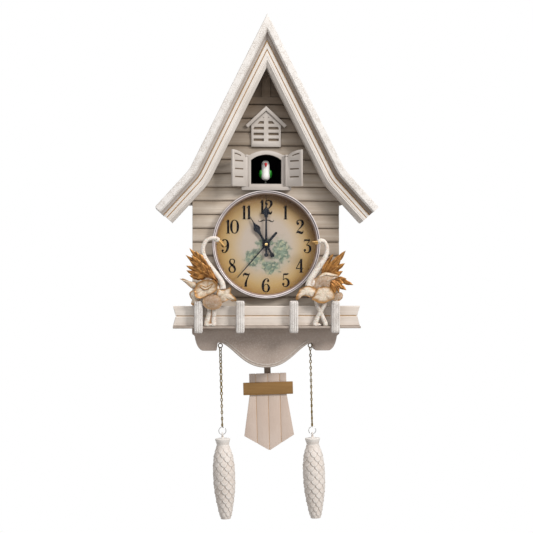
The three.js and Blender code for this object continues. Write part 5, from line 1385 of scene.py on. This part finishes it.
def makePosts():
    b = balconySet
    for i, x in enumerate(b["posts"]):
        # fluted face, eased ends
        left = [(-6.0, -90.6), (-6.0, -101.6), (-5.6, -103.0), (-4.8, -103.7), (-3.9, -104.0),
            (-3.5, -103.2), (-3.0, -103.2), (-2.5, -104.3), (-0.7, -104.4), (-0.3, -103.5)]
        section = left + [(-sx, sy) for sx, sy in reversed(left)]
        top, bottom = b["postTop"], b["postFoot"]
        levels = [(0.0, 2.4), (0.012, 1.2), (0.035, 0.4), (0.075, 0.0)]
        levels = levels + [(k / 12, 0.0) for k in range(1, 12)] + [(1 - along, pull) for along,
            pull in reversed(levels)]
        points = []
        for along, pull in levels:
            z = top + (bottom - top) * along
            for sx, sy in section:
                k = 1 - pull / 9
                points.append((x + sx * k, -97.5 + (sy + 97.5) * (k if sy < -92 else 1), z))
        post = addPiece("railPost%d" % (i + 1), points, loftFaces(len(levels), len(section)), "postPaint",
            "clock", ["rail_post_%d" % (i + 1)], angle=40)
        carve(post, [cutter(*boxPoints(x - 10, x + 10, -100.3, -80, -309.8, -306.2))])
        smooth(post, 40)


baseSet = {"front": -69.4, "back": -2.8, "roomFront": -67, "lipCentre": -69.5, "lipFront": -70.0}


def baseCurve(points):
    out = []
    for (p0, p1, p2, p3) in points:
        for t in np.linspace(0, 1, 18, endpoint=False):
            out.append((
                (1 - t) ** 3 * p0[0] + 3 * t * (1 - t) ** 2 * p1[0] + 3 * t * t * (1 - t) * p2[
                0] + t**3 * p3[0], (1 - t) ** 3 * p0[1] + 3 * t * (1 - t) ** 2 * p1[1] + 3 * t * t * (
                1 - t) * p2[1] + t**3 * p3[1]))
    return out


def makeBase():
    s = baseSet
    bowl = baseCurve([((0, -367), (30, -367), (42, -344), (60, -333.2))])
    notch = [(60, -333.2), (63, -331.8), (66, -331.0), (68.4, -331.3), (69.2, -331.9), (69.6, -334),
        (70.4, -340.5), (70.9, -342.0), (71.8, -342.5)]
    lobe = baseCurve([((71.8, -342.5), (80, -342.6), (86, -342.6), (91, -342.4)),
        ((91, -342.4), (98, -339.5), (100.6, -331), (102, -322))])
    side = [(102, -322), (103.2, -320.2), (105.2, -319.2), (105.6, -318), (105.6, -309.8)]
    right = bowl + notch + lobe[1:] + side
    outline = right + [(-x, z) for x, z in reversed(right[1:])]
    console = addPiece("baseConsole", *platePoints(outline, s["front"], s["back"]), "basePaint", "clock",
        ["base_console"], angle=30)
    rodSlot = cutter(*boxPoints(-26, 26, -36, -24, -372, -350))
    left = [(-98, -316), (-96, -328), (-90, -338), (-76, -338.5), (-73, -330), (-66, -327), (-56, -331),
        (-40, -344), (-20, -358)]
    room = left + [(0, -362)] + [(-x, z) for x, z in reversed(left)] + [(98, -300), (-98, -300)]
    inner = cutter(*platePoints(room, s["roomFront"], 2))
    carve(console, [inner, rodSlot])
    easeEdges(console, 1.0, 3, 40)
    # raised lip that follows the bowl
    lip = [(x, z) for x, z in bowl + notch[:2]]
    lip = [(-x, z) for x, z in reversed(lip[1:])] + lip
    beads = []
    for inset, half in ((-1.6, 0.75), (-4.6, 0.9)):
        curve = np.array([(x, s["lipCentre"], z) for x, z in offsetLine(lip, inset)])
        points, faces = tubePoints(curve, [half] * len(curve), 12, 0.55)
        beads.append(([(x, max(y, s["lipFront"]), z) for x, y, z in points], faces))
    addPiece("baseLip", *gather(beads), "lipPaint", "clock", angle=60)
    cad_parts["chain_hook_left"].data.materials[0] = finishes["chainBrass"]
    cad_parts["chain_hook_right"].data.materials[0] = finishes["chainBrass"]
    print("balcony and base made")


# ---------- pendulum ----------

pendulumSet = {
    "pivot": (0.0, -212.0), "lean": 1.5, "planks": (-17.6, 0.0, 17.4),
    "boardTop": 165.6, "bandTop": 178.2, "bandFoot": 196.4,  # below the pivot
    "board": (-33.8, -30.9), "backing": (-33.2, -30.3), "band": (-36.5, -34.1),  # front and back
}


def hangTurn(points, pivot, lean):
    # tilts points about a pivot, in the plane of the wall
    c, s = math.cos(math.radians(lean)), math.sin(math.radians(lean))
    return [(pivot[0] + (x - pivot[0]) * c - (z - pivot[1]) * s, y,
        pivot[1] + (z - pivot[1]) * c + (x - pivot[0]) * s) for x, y, z in points]


def clipPlank(outline, x0, x1):
    # the part of a convex outline between two upright lines
    for limit, sign in ((x0, 1), (x1, -1)):
        kept = []
        for (ax, az), (bx, bz) in zip(outline, outline[1:] + outline[:1]):
            inA, inB = sign * (ax - limit) >= 0, sign * (bx - limit) >= 0
            if inA:
                kept.append((ax, az))
            if inA != inB:
                t = (limit - ax) / (bx - ax)
                kept.append((limit, az + (bz - az) * t))
        outline = kept
    return outline


def makePendulum():
    p = pendulumSet
    pz = p["pivot"][1]
    outline = [(27.0, pz - p["boardTop"]), (27.0, pz - p["bandFoot"]), (36.3, pz - 256.0), (0, pz - 278.0),
        (-36.3, pz - 256.0), (-27.0, pz - p["bandFoot"]), (-27.0, pz - p["boardTop"])]
    edges = [-40.0] + list(p["planks"]) + [40.0]
    parts = []
    for left, right in zip(edges[:-1], edges[1:]):
        plank = clipPlank(outline, left + 0.4, right - 0.4)
        parts.append(platePoints(plank, *p["board"]))
    points, faces = gather(parts)
    board = addPiece("pendulumBoard", hangTurn(points, p["pivot"], p["lean"]), faces, "boardPaint",
        "pendulum", ["pendulum_board"])
    easeEdges(board, 0.2, 2)
    inner = [(x * 0.985, pz - 223 + (z - pz + 223) * 0.985) for x, z in outline]
    backing = platePoints(inner, *p["backing"])
    addPiece("pendulumBacking", hangTurn(backing[0], p["pivot"], p["lean"]), backing[1], "paleGold",
        "pendulum")
    band = boxPoints(-36.2, 36.2, *p["band"], pz - p["bandFoot"], pz - p["bandTop"])
    piece = addPiece("pendulumBand", hangTurn(band[0], p["pivot"], p["lean"]), band[1], "bandGold",
        "pendulum", ["pendulum_band"])
    easeEdges(piece, 0.6, 3)
    softened("pendulum_rod", "pendulumRod", "rodBrown", "pendulum", 0.2)
    print("pendulum made")


# ---------- chains and weights ----------

chainSet = {
    "hookX": 65.0, "y": -52.0, "top": -339.0, "length": 114.0, "lean": 1.4,
    "linkPitch": 4.5, "linkLength": 5.9, "linkWidth": 4.3, "wire": 0.74,
    "ring": 5.2, "ringWire": 0.7, "weightLean": 0.9,
}
weightSet = {"length": 122.3, "radius": 15.9, "cup": 11.0, "rowStep": 6.6, "around": 8, "scaleDepth": 2.5,
    "scaleLength": 12.0}


def linkPoints(centre, length, width, wire, turn):
    # one oval link hanging upright, turned about its length
    straight = (length - width) / 2
    radius = width / 2 - wire
    c, s = math.cos(turn), math.sin(turn)
    path = []
    for i in range(20):
        angle = 2 * math.pi * i / 20
        x, z = radius * math.cos(angle), radius * math.sin(angle)
        z += straight if math.sin(angle) >= 0 else -straight
        path.append((x, z, math.cos(angle), math.sin(angle)))
    points, faces = [], []
    for x, z, nx, nz in path:
        for j in range(6):
            roll = 2 * math.pi * j / 6
            out, deep = wire * math.cos(roll), wire * math.sin(roll)
            lx, lz = x + nx * out, z + nz * out
            points.append((centre[0] + lx * c - deep * s, centre[1] + lx * s + deep * c, centre[2] + lz))
    for i in range(20):
        for j in range(6):
            a, b = i * 6 + j, i * 6 + (j + 1) % 6
            d, e = ((i + 1) % 20) * 6 + j, ((i + 1) % 20) * 6 + (j + 1) % 6
            faces.append((a, b, e, d))
    return points, faces


def makeChain(side, name, body):
    c = chainSet
    x, top = side * c["hookX"], c["top"]
    count = int(round((c["length"] - 1.0) / c["linkPitch"]))
    pitch = (c["length"] - 0.2) / count
    random.seed(5 + side)
    parts = []
    for i in range(count):
        # a curb chain: the links lie nearly flat on each other, and the whole run twists slowly
        twist = math.radians(10 + 2.6 * i) if side < 0 else math.radians(52 + 1.2 * i)
        turn = twist + (0.42 if i % 2 else -0.42) + random.uniform(-0.1, 0.1)
        parts.append(linkPoints((x, c["y"], top - pitch * (i + 0.5)), c["linkLength"], c["linkWidth"],
            c["wire"], turn))
    points, faces = gather(parts)
    addPiece("chain" + name, hangTurn(points, (x, top), c["lean"]), faces, "chainBrass", body,
        ["chain_" + name.lower()], angle=180)
    ring = ringPoints((x, c["y"], top - c["length"] - c["ring"] - c["ringWire"]), c["ring"],
        c["ringWire"] * 0.8, (0, 1, 0), 48, 10)
    second = ringPoints((x, c["y"] - 0.5, top - c["length"] - c["ring"] - c["ringWire"]), c["ring"] - 0.15,
        c["ringWire"] * 0.55, (0, 1, 0.05), 48, 8)
    points, faces = gather([ring, second])
    addPiece("weightRing" + name, hangTurn(points, (x, top), c["lean"]), faces, "ringSteel", body,
        ["weight_ring_" + name.lower()], angle=180)


def coneRadius(along):
    # girth of the cone from under its cup (0) to its tip (1)
    table = [(0.0, 0.60), (0.04, 0.66), (0.15, 0.86), (0.3, 0.985), (0.42, 1.0), (0.58, 0.955),
        (0.75, 0.79), (0.9, 0.575), (0.98, 0.455), (1.0, 0.42)]
    return np.interp(along, [a for a, _ in table], [g for _, g in table])


def makeWeight(side, name, body):
    c, w = chainSet, weightSet
    x, top = side * c["hookX"], c["top"]
    drop = c["length"] + 2 * c["ring"] + c["ringWire"] - 0.6
    cupTop, cupFoot = -6.5, -15.8
    rows, around = 250, 160
    length = w["length"] + cupFoot
    theta = np.linspace(0, 2 * math.pi, around, endpoint=False)
    along = np.linspace(0, 1, rows)
    z = -along * length
    radius = np.interp(along, np.linspace(0, 1, 60),
        np.convolve(np.pad(coneRadius(np.linspace(0, 1, 60)), 3, "edge"), np.ones(7) / 7,
        "valid")) * (w["radius"] - w["scaleDepth"] * 0.55)
    lift = np.zeros((rows, around))
    rowCount = int(length / w["rowStep"]) + 1
    for row in range(-1, rowCount):
        head = -row * w["rowStep"]
        phase = (row % 2) * 0.5
        u = 2 * np.abs(((theta / (2 * math.pi) * w["around"] + phase) % 1) - 0.5)
        foot = head - w["scaleLength"] * (1 - 0.62 * u**2.4)
        part = (head - z[:, None]) / (head - foot)[None, :]
        inside = (part > 0) & (part <= 1)
        dome = (1 - 0.45 * u[None, :] ** 2) * np.clip(part, 0, 1) ** 0.8
        lip = np.sin(np.clip((1 - part) / 0.22, 0, 1) * math.pi / 2)
        lift = np.maximum(lift, np.where(inside, dome * lip, 0))
    fade = np.clip(along / 0.10, 0, 1)[:, None] * np.clip((1.03 - along) / 0.08, 0, 1)[:, None]
    girth = radius[:, None] + (lift * fade) * w["scaleDepth"]
    girth = np.minimum(girth, w["radius"] + 0.1)
    points = [(girth[i, j] * math.cos(theta[j]), girth[i, j] * math.sin(theta[j]),
        cupFoot + z[i]) for i in range(rows) for j in range(around)]
    cone = (points, loftFaces(rows, around))
    cup = turnedPoints([(0.1, cupTop + 0.3), (3.0, cupTop + 0.4), (w["cup"] - 1.4, cupTop + 0.1),
        (w["cup"] - 0.4, cupTop - 0.1), (w["cup"], cupTop - 0.8), (w["cup"] - 0.2, cupTop - 1.8),
        (w["cup"] - 1.0, cupTop - 4.4), (w["cup"] - 1.8, cupTop - 7.0), (w["cup"] - 2.2, cupFoot + 0.6),
        (w["cup"] - 2.3, cupFoot - 0.6), (w["cup"] - 3.2, cupFoot - 1.2)], (0, 0, 0), 64, "z")
    eyelet = gather([ringPoints((0, 0, -0.6), 2.0, 1.0, (1, 0, 0), 28, 10),
        turnedPoints([(0.1, -2.0), (1.5, -2.2), (1.6, -4.4), (2.2, -5.6), (3.6, -6.2)], (0, 0, 0), 24,
        "z")])
    points, faces = gather([cone, cup, eyelet])
    place = [(x + px, c["y"] + py, top - drop + pz) for px, py, pz in points]
    place = hangTurn(place, (x, top - drop), c["weightLean"])
    piece = addPiece("pineWeight" + name, hangTurn(place, (x, top), c["lean"]), faces, "conePaint", body,
        ["pine_weight_" + name.lower()], angle=50)
    markHollows(piece, 1.5, 5)


def makeHanging():
    for side, name in ((-1, "Left"), (1, "Right")):
        makeChain(side, name, name.lower() + "_chain")
        makeWeight(side, name, name.lower() + "_weight")
    print("chains and weights made")


# ---------- swans ----------

swanSet = {
    "y": -99.0, "frontLimit": -108.6, "outermost": -109.0,
    "deck": -306.2, "railTop": -277.5, "railFace": -90.9, "legFront": -104.5, "petalBack": -90.8,
}

leftSwan = {
    "name": "Left",
    "neck": [(-67.6, -184.8, 2.6), (-71.5, -182.8, 3.0), (-77.0, -181.9, 2.9), (-83.0, -183.6, 2.8),
        (-87.8, -188.0, 3.0), (-90.4, -195.0, 3.2), (-90.2, -203.4, 3.4), (-86.8, -212.4, 3.7),
        (-80.6, -221.6, 4.0), (-73.4, -231.0, 4.1), (-67.0, -239.6, 4.2), (-63.6, -246.6, 4.4),
        (-62.6, -254.0, 4.8)],
    "head": (-71.0, -184.2, 4.4, 3.3, 0.4),
    "beak": [(-68.8, -185.2, 2.3), (-66.0, -187.6, 1.6), (-63.4, -190.4, 1.3), (-60.8, -193.2, 1.2),
        (-60.2, -196.0, 0.6)],
    "beakLow": [(-67.4, -186.0, 1.2), (-64.8, -186.2, 1.3), (-63.2, -188.0, 1.1), (-62.2, -190.2, 0.5)],
    "eye": (-71.6, -183.4),
    "body": [((-78.0, -240.0), (8.0, 6.0, 7.0), 0.7), ((-72.0, -256.0), (9.0, 6.0, 8.0), 0.0),
        ((-86.0, -260.0), (12.0, 6.0, 12.0), 0.0)],
    "legs": [[(-81.5, -276.0, 4.6), (-81.5, -284.0, 4.0), (-83.0, -293.0, 4.2), (-84.6, -301.0, 4.8),
        (-85.0, -306.0, 5.2)], [(-75.4, -276.0, 4.6), (-75.2, -284.0, 4.2), (-75.4, -293.0, 4.2),
        (-75.6, -301.0, 4.6), (-75.6, -306.0, 5.0)]],
    "foot": (-80.8, -304.0, 8.2),
    "roots": ((-71.0, -243.0), (-84.0, -236.0)),
    "feathers": [(-109.6, -196.1, 7.5), (-114.9, -205.8, 7.5), (-100.8, -199.6, 7.0), (-94.6, -208.0, 6.5),
        (-114.3, -220.8, 7.0), (-114.0, -227.4, 7.0), (-109.6, -234.4, 7.0), (-107.0, -206.0, 8.0),
        (-109.0, -214.0, 8.0), (-103.0, -231.0, 8.0), (-99.0, -212.0, 8.5), (-99.0, -224.0, 9.0),
        (-99.0, -239.0, 7.5), (-95.4, -203.5, 7.0), (-89.0, -211.0, 7.0), (-83.0, -219.5, 7.0),
        (-93.0, -216.0, 9.0), (-91.0, -229.0, 9.0), (-84.0, -227.0, 7.0)],
    "petals": {
        # closed outlines as x, z with their hub; hub and rim depths are from the swan's own plane
        "back": dict(kind="brown", hub=(-82.0, -237.5, -3.6), rim=1.0, ruffle=0.3, folds=3,
            line=[(-92, -243), (-89, -236), (-84, -231.5), (-77.5, -229.8), (-71.5, -233), (-68.5, -239),
            (-71, -244.5), (-80, -244.5)]),
        "tail": dict(kind="ivory", hub=(-107.0, -247.0, -2.6), rim=-0.6, ruffle=0.7, folds=2,
            line=[(-122.8, -239.3), (-118.4, -239.4), (-112.3, -241.5), (-107.0, -243.6), (-101.0, -244.5),
            (-98.5, -252.6), (-105.2, -253.0), (-109.6, -250.3), (-114.0, -246.0), (-118.4, -242.4)]),
        "lower": dict(kind="ivory", hub=(-103.0, -264.5, -4.2), rim=-1.2, ruffle=1.0, folds=4,
            line=[(-109.6, -258.2), (-103.4, -255.0), (-96.0, -258.2), (-94.0, -267.5), (-98.0, -271.6),
            (-101.4, -276.0), (-107.2, -275.4), (-106.0, -269.3), (-109.2, -264.0)]),
        "star": dict(kind="ivory", hub=(-61.0, -261.5, -5.6), rim=-3.6, ruffle=1.4, folds=4,
            line=[(-70.0, -253.0), (-63.8, -255.4), (-57.6, -253.6), (-51.4, -251.6), (-51.4, -257.4),
            (-49.7, -262.0), (-46.0, -264.4), (-43.8, -270.0), (-48.4, -271.0), (-54.0, -269.0),
            (-60.3, -271.4), (-66.0, -274.2), (-69.0, -268.0), (-71.4, -261.0)]),
        "rosette": dict(kind="ivory", hub=(-86.0, -253.6, -5.4), rim=-8.0, ruffle=1.2, folds=4,
            line=[(-102.6, -255.6), (-100.6, -248.4), (-95.2, -243.2), (-88.5, -241.4), (-81.0, -241.0),
            (-74.6, -242.6), (-70.8, -246.6), (-70.4, -252.0), (-73.0, -256.6), (-78.6, -260.2),
            (-85.2, -263.2), (-92.4, -266.6), (-99.0, -266.2), (-102.4, -261.4)]),
        "tongue": dict(kind="ivory", hub=(-85.0, -252.4, -6.4), rim=-7.0, ruffle=0.5, folds=3,
            line=[(-96.8, -247.8), (-91.4, -249.0), (-87.0, -251.0), (-82.0, -248.8), (-76.4, -245.6),
            (-79.4, -250.6), (-84.6, -253.8), (-89.4, -254.6), (-94.0, -251.6)]),
        "bell": dict(kind="brown", hub=(-77.6, -270.6, -9.0), rim=-5.4, ruffle=0.5, folds=2,
            line=[(-91.4, -269.6), (-87.6, -263.8), (-79.6, -261.6), (-71.8, -262.6), (-66.4, -266.4),
            (-64.0, -272.8), (-65.8, -278.8), (-70.8, -282.0), (-77.9, -282.8), (-84.9, -281.0),
            (-90.0, -276.6)]),
    },
}

rightSwan = {
    "name": "Right",
    "neck": [(72.0, -187.0, 2.7), (75.6, -185.4, 3.1), (79.8, -186.0, 3.0), (83.4, -190.0, 2.9),
        (85.0, -196.4, 3.1), (84.4, -203.4, 3.3), (81.6, -210.4, 3.6), (77.2, -217.4, 3.9),
        (71.6, -225.2, 4.2),
        (65.8, -233.6, 4.5), (61.2, -241.6, 4.8), (58.8, -250.4, 5.4)],
    "head": (75.6, -187.0, 4.6, 3.5, -0.05),
    "beak": [(72.4, -187.2, 2.3), (68.6, -187.6, 1.7), (65.4, -187.2, 1.2), (63.6, -186.8, 0.5)],
    "beakLow": [(71.8, -189.4, 1.5), (69.2, -190.0, 1.1), (67.0, -190.0, 0.5)],
    "eye": (77.4, -187.6),
    "body": [((66.0, -246.0), (8.0, 6.5, 8.0), -0.6), ((80.0, -245.0), (12.0, 6.5, 8.5), 0.15),
        ((76.0, -258.0), (13.0, 6.5, 10.0), 0.0)],
    "legs": [[(83.6, -266.0, 4.6), (81.2, -275.0, 4.1), (75.8, -286.0, 3.7), (71.4, -295.0, 3.8),
        (68.8, -302.0, 4.2), (68.4, -306.0, 4.6)], [(69.4, -268.0, 4.2), (71.2, -276.0, 3.8),
        (75.6, -286.0, 3.6), (80.0, -296.0, 3.8), (82.8, -302.0, 4.0), (83.4, -306.0, 4.2)]],
    "foot": (72.4, -304.4, 4.4),
    "roots": ((76.0, -240.0), (88.0, -240.0)),
    "feathers": [(111.6, -199.6, 9.0), (106.0, -207.0, 8.0), (94.0, -204.0, 7.0), (99.6, -209.0, 7.0),
        (110.4, -217.4, 7.5), (107.4, -228.7, 7.0), (112.5, -239.3, 6.5), (122.2, -248.1, 7.0),
        (112.5, -255.4, 7.0), (104.0, -212.0, 9.0), (102.0, -221.0, 9.0), (92.6, -214.0, 7.5),
        (86.4, -213.0, 6.0), (83.0, -221.0, 6.0), (104.0, -233.0, 8.0), (108.0, -246.0, 8.0),
        (100.0, -251.0, 8.5), (106.0, -252.0, 7.0), (102.0, -258.5, 7.5), (96.0, -260.0, 8.0)],
    "petals": {
        "back": dict(kind="brown", hub=(79.6, -244.0, -7.0), rim=-2.6, ruffle=0.3, folds=3,
            line=[(63.6, -252.0), (66.0, -243.0), (71.6, -235.8), (79.0, -231.8), (87.0, -231.6),
            (95.0, -233.4), (102.0, -235.2), (96.6, -238.8), (92.4, -242.0), (90.0, -248.6), (87.0, -253.4),
            (77.2, -254.6), (68.4, -256.0)]),
        "ridge": dict(kind="ivory", hub=(84.0, -233.6, -6.2), rim=-4.0, ruffle=0.3, folds=2,
            line=[(70.6, -237.0), (77.4, -231.4), (85.0, -230.2), (93.6, -232.0), (101.8, -234.6),
            (95.2, -235.8), (86.4, -234.2), (78.2, -234.8)]),
        "left": dict(kind="ivory", hub=(56.0, -257.2, -6.2), rim=-4.4, ruffle=1.3, folds=4,
            line=[(39.8, -266.4), (43.0, -259.8), (46.0, -254.6), (52.5, -250.6), (61.4, -249.6),
            (69.0, -254.6), (71.4, -260.4), (64.6, -266.0), (57.2, -264.4), (50.8, -263.0), (45.0, -267.2),
            (41.6, -269.4)]),
        "leaf": dict(kind="brown", hub=(99.6, -264.6, -4.0), rim=-2.4, ruffle=0.5, folds=3,
            line=[(92.0, -265.0), (96.4, -260.6), (102.4, -258.6), (106.6, -260.4), (106.6, -266.4),
            (102.0, -270.6), (96.4, -271.4)]),
        "shell": dict(kind="ivory", hub=(79.4, -259.6, -8.2), rim=-6.6, ruffle=0.9, folds=4,
            line=[(62.8, -268.2), (66.6, -260.6), (70.2, -253.6), (77.2, -250.8), (86.6, -250.8),
            (92.4, -256.4), (95.2, -265.2), (88.2, -270.4), (79.0, -274.0), (70.6, -272.6)]),
    },
}


def petalShape(p, seed, front):
    # fills a closed outline from its hub with a folded, thick-rimmed sheet; gilt is 1 at the rim
    line = smoothCurve(p["line"] + [p["line"][0]], 6)[:-1]
    hub = np.array(p["hub"][:2])
    rings, around = 14, len(line)
    points, gilt = [(hub[0], swanSet["y"] + p["hub"][2], hub[1])], [0.0]
    for i in range(1, rings + 1):
        r = i / rings
        for j, (x, z) in enumerate(line):
            turn = 2 * math.pi * j / around
            fold = math.sin(p["folds"] * turn + seed) * 0.6 + math.sin(
                p["folds"] * 2.3 * turn + 2 * seed + r * 2) * 0.4
            depth = p["hub"][2] + (p["rim"] - p["hub"][2]) * r**1.8 + p["ruffle"] * r**1.4 * fold
            lip = -0.55 * max(0.0, (r - 0.82) / 0.18) ** 2
            place = hub + (np.array((x, z)) - hub) * r * (1 + 0.02 * math.sin(9 * turn + seed) * r)
            points.append((place[0], max(swanSet["y"] + depth + lip, front), place[1]))
            gilt.append(max(0.0, (r - 0.5) / 0.5))
    faces = [(0, 1 + j, 1 + (j + 1) % around) for j in range(around)]
    for i in range(rings - 1):
        for j in range(around):
            a, b = 1 + i * around + j, 1 + i * around + (j + 1) % around
            faces.append((a, a + around, b + around, b))
    return points, faces, gilt


def featherBlade(root, tip, width, depth, lean, seed):
    # a lens-shaped feather with a ridge and a nicked edge
    long, wide = 18, 8
    root, tip = np.array(root, float), np.array(tip, float)
    ahead = tip - root
    length = np.linalg.norm(ahead)
    ahead /= length
    side = np.array((-ahead[1], ahead[0]))
    points, gilt, roots = [], [], []
    for face in (-1, 1):
        for i in range(long + 1):
            u = i / long
            half = width / 2 * max(0.3 * (1 - u), math.sin(math.pi * min(u, 0.995) ** 1.35) ** 0.85)
            for j in range(wide + 1):
                v = 2 * j / wide - 1
                nick = 1 - 0.16 * abs(v) * (math.sin(u * 26 + seed + v * 2) > 0.45)
                curl = lean * (u - u * u) * 4
                place = root + ahead * length * u + side * (half * v * nick + curl)
                thick = 1.15 * (1 - abs(v) ** 1.6) * (1 - 0.55 * u) + 0.12
                barb = 0.24 * math.sin(u * 52 - abs(v) * 9 + seed) * (1 - abs(v) * 0.4)
                y = swanSet["y"] + depth + (thick + barb) * face - 1.0 * u
                points.append((place[0], y, place[1]))
                gilt.append(max(abs(v) ** 3, u**4, 1 - abs(v) * 5 if abs(v) < 0.2 else 0))
                roots.append(1 - u)
    sheet = loftFaces(long + 1, wide + 1, closed=False, caps=False)
    shift = (long + 1) * (wide + 1)
    faces = sheet + [tuple(k + shift for k in reversed(f)) for f in sheet]
    rim = [j for j in range(wide + 1)] + [(i + 1) * (wide + 1) - 1 for i in range(1, long + 1)]
    rim += [long * (wide + 1) + j for j in range(wide - 1, -1,
        -1)] + [i * (wide + 1) for i in range(long - 1, 0, -1)]
    for a, b in zip(rim, rim[1:] + rim[:1]):
        faces.append((a, b, b + shift, a + shift))
    return points, faces, gilt, roots


def makeWing(swan, nodeName, front):
    rng = random.Random(3)
    parts, gilt, roots = [], [], []
    count = len(swan["feathers"])
    for k, (x, z, width) in enumerate(swan["feathers"]):
        # feathers next to the neck spring from further in
        start, end = swan["roots"]
        share = min(max(math.atan2(z - end[1], abs(x - end[0])) / 1.05, 0), 1)
        root = (end[0] + (start[0] - end[0]) * share + rng.uniform(-2, 2),
            end[1] + (start[1] - end[1]) * share + rng.uniform(-3, 3))
        depth = 3.4 - 7.6 * k / count
        points, faces, rim, base = featherBlade(root, (x, z), width * 1.1, depth, rng.uniform(-1.6, 1.6),
            rng.uniform(0, 6))
        parts.append((points, faces))
        gilt += rim
        roots += base
    points, faces = gather(parts)
    points = [(x, max(y, front), z) for x, y, z in points]
    wing = addPiece("swanWing" + swan["name"], points, faces, "featherGold", "clock", [nodeName], angle=60)
    keepValue(wing, "gilt", gilt)
    keepValue(wing, "root", roots)


def makeSwan(swan, node, wingNode):
    y = swanSet["y"]
    front = swanSet["frontLimit"]
    curve = smoothCurve(swan["neck"], 6)
    neck = tubePoints(np.array([(x, y, z) for x, z, r in curve]), [r for _, _, r in curve], 20, 0.95)
    hx, hz, hl, hh, ht = swan["head"]
    parts = [neck, ballPoints((hx, y, hz), (hl, 3.6, hh), 24, 16, ht)]
    for (bx, bz), size, turn in swan["body"]:
        parts.append(ballPoints((bx, y + 2.0, bz), size, 28, 18, turn))
    for leg in swan["legs"]:
        curve = smoothCurve(leg, 5)
        bent = [(x, -96.0 if z < -290 else y + 2, z) for x, z, r in curve]
        parts.append(tubePoints(np.array(bent), [r * 0.86 for _, _, r in curve], 14))
    fx, fz, fr = swan["foot"]
    parts.append(ballPoints((fx, -96.5, fz), (fr, 3.6, 2.0), 24, 10))
    figure = addPiece("swanBody" + swan["name"], *gather(parts), "ivoryResin", "clock", [node])
    remeshed(figure, 0.75, 4)
    ripple(figure, 0.35)
    # what stands behind the rail or in the wall is cut away
    mesh = figure.data
    for vert in mesh.vertices:
        vert.co.z = max(vert.co.z, swanSet["deck"] * mm)
        if vert.co.z < swanSet["railTop"] * mm:
            vert.co.y = min(vert.co.y, swanSet["railFace"] * mm)
            vert.co.y = max(vert.co.y, swanSet["legFront"] * mm)
    markHollows(figure, 1.6, 8)
    keepValue(figure, "gilt", [0.0] * len(mesh.vertices))
    beaks = []
    for line, lift in ((swan["beak"], 0.0), (swan["beakLow"], 0.2)):
        curve = smoothCurve(line, 5)
        beaks.append(tubePoints(np.array([(x, y + lift, z) for x, z, r in curve]),
            [max(r, 0.3) for _, _, r in curve], 14, 0.9))
    addPiece("swanBeak" + swan["name"], *gather(beaks), "beakGold", "clock", angle=180)
    ex, ez = swan["eye"]
    addPiece("swanEye" + swan["name"], *ballPoints((ex, y - 3.15, ez), (0.75, 0.6, 0.75), 12, 8),
        "inkBlack", "clock", angle=180)
    makePetals(swan, front)
    makeWing(swan, wingNode, front)


def ripple(piece, amount):
    # shallow hand-worked unevenness
    mod = piece.modifiers.new("ripple", "DISPLACE")
    texture = bpy.data.textures.new("ripple", "CLOUDS")
    texture.noise_scale = 0.006
    mod.texture = texture
    mod.strength = amount * mm
    mod.mid_level = 0.5
    mod.texture_coords = "LOCAL"
    bake(piece)
    smooth(piece, 180)


def makePetals(swan, front):
    for kind, finish in (("ivory", "petalResin"), ("brown", "brownResin")):
        chosen = [(k, p) for k, p in enumerate(swan["petals"].values()) if p["kind"] == kind]
        sheets = [petalShape(p, 1.9 * k + 0.4, front) for k, p in chosen]
        points, faces = gather([(q, f) for q, f, _ in sheets])
        gilt = [g for _, _, rim in sheets for g in rim]
        petals = addPiece("swan" + kind.title() + swan["name"], points, faces, finish, "clock", angle=180)
        keepValue(petals, "gilt", gilt)
        shell = petals.modifiers.new("shell", "SOLIDIFY")
        shell.thickness = 1.1 * mm
        shell.offset = 0
        shell.use_rim = True
        bake(petals)
        for vert in petals.data.vertices:
            vert.co.y = max(vert.co.y, swanSet["outermost"] * mm)
            if vert.co.z < swanSet["railTop"] * mm:
                vert.co.y = min(vert.co.y, swanSet["petalBack"] * mm)
        smooth(petals, 70)
        markHollows(petals, 1.1, 6)


def makeSwans():
    makeSwan(leftSwan, "swan_left", "swan_left_wing")
    makeSwan(rightSwan, "swan_right", "swan_right_wing")
    print("swans made")


# ---------- back and inside ----------

innerSet = {
    "chamberBlack": ["bird_chamber"],
    "caseBlack": ["movement_case", "movement_nut", "pendulum_drive", "chime_module", "cuckoo_solenoid",
    "speaker"],
    "hubBrass": ["hour_pipe", "minute_arbor"],
    "ringSteel": ["shutter_pin_left", "shutter_pin_right", "cover_screw_1", "cover_screw_2",
    "cover_screw_3"],
    "knobWhite": ["set_knob", "chime_switch"],
    "cellBlue": ["movement_battery"],
}


def makeInside():
    for finish, nodes in innerSet.items():
        for node in nodes:
            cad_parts[node].data.materials[0] = finishes[finish]
    softened("back_cover", "backCover", "backBrown", "clock", 0.4)
    softened("battery_door", "batteryDoor", "backBrown", "door", 0.2)
    print("inside finished")


# ---------- build ----------

makeCamera()
makeGroups()
makeSurroundings()
makeFloor()
makePaints()
makeRoof()
makeWall()
makeWindow()
makeBird()
makeDial()
makeRail()
makePosts()
makeBase()
makePendulum()
makeHanging()
makeSwans()
makeInside()
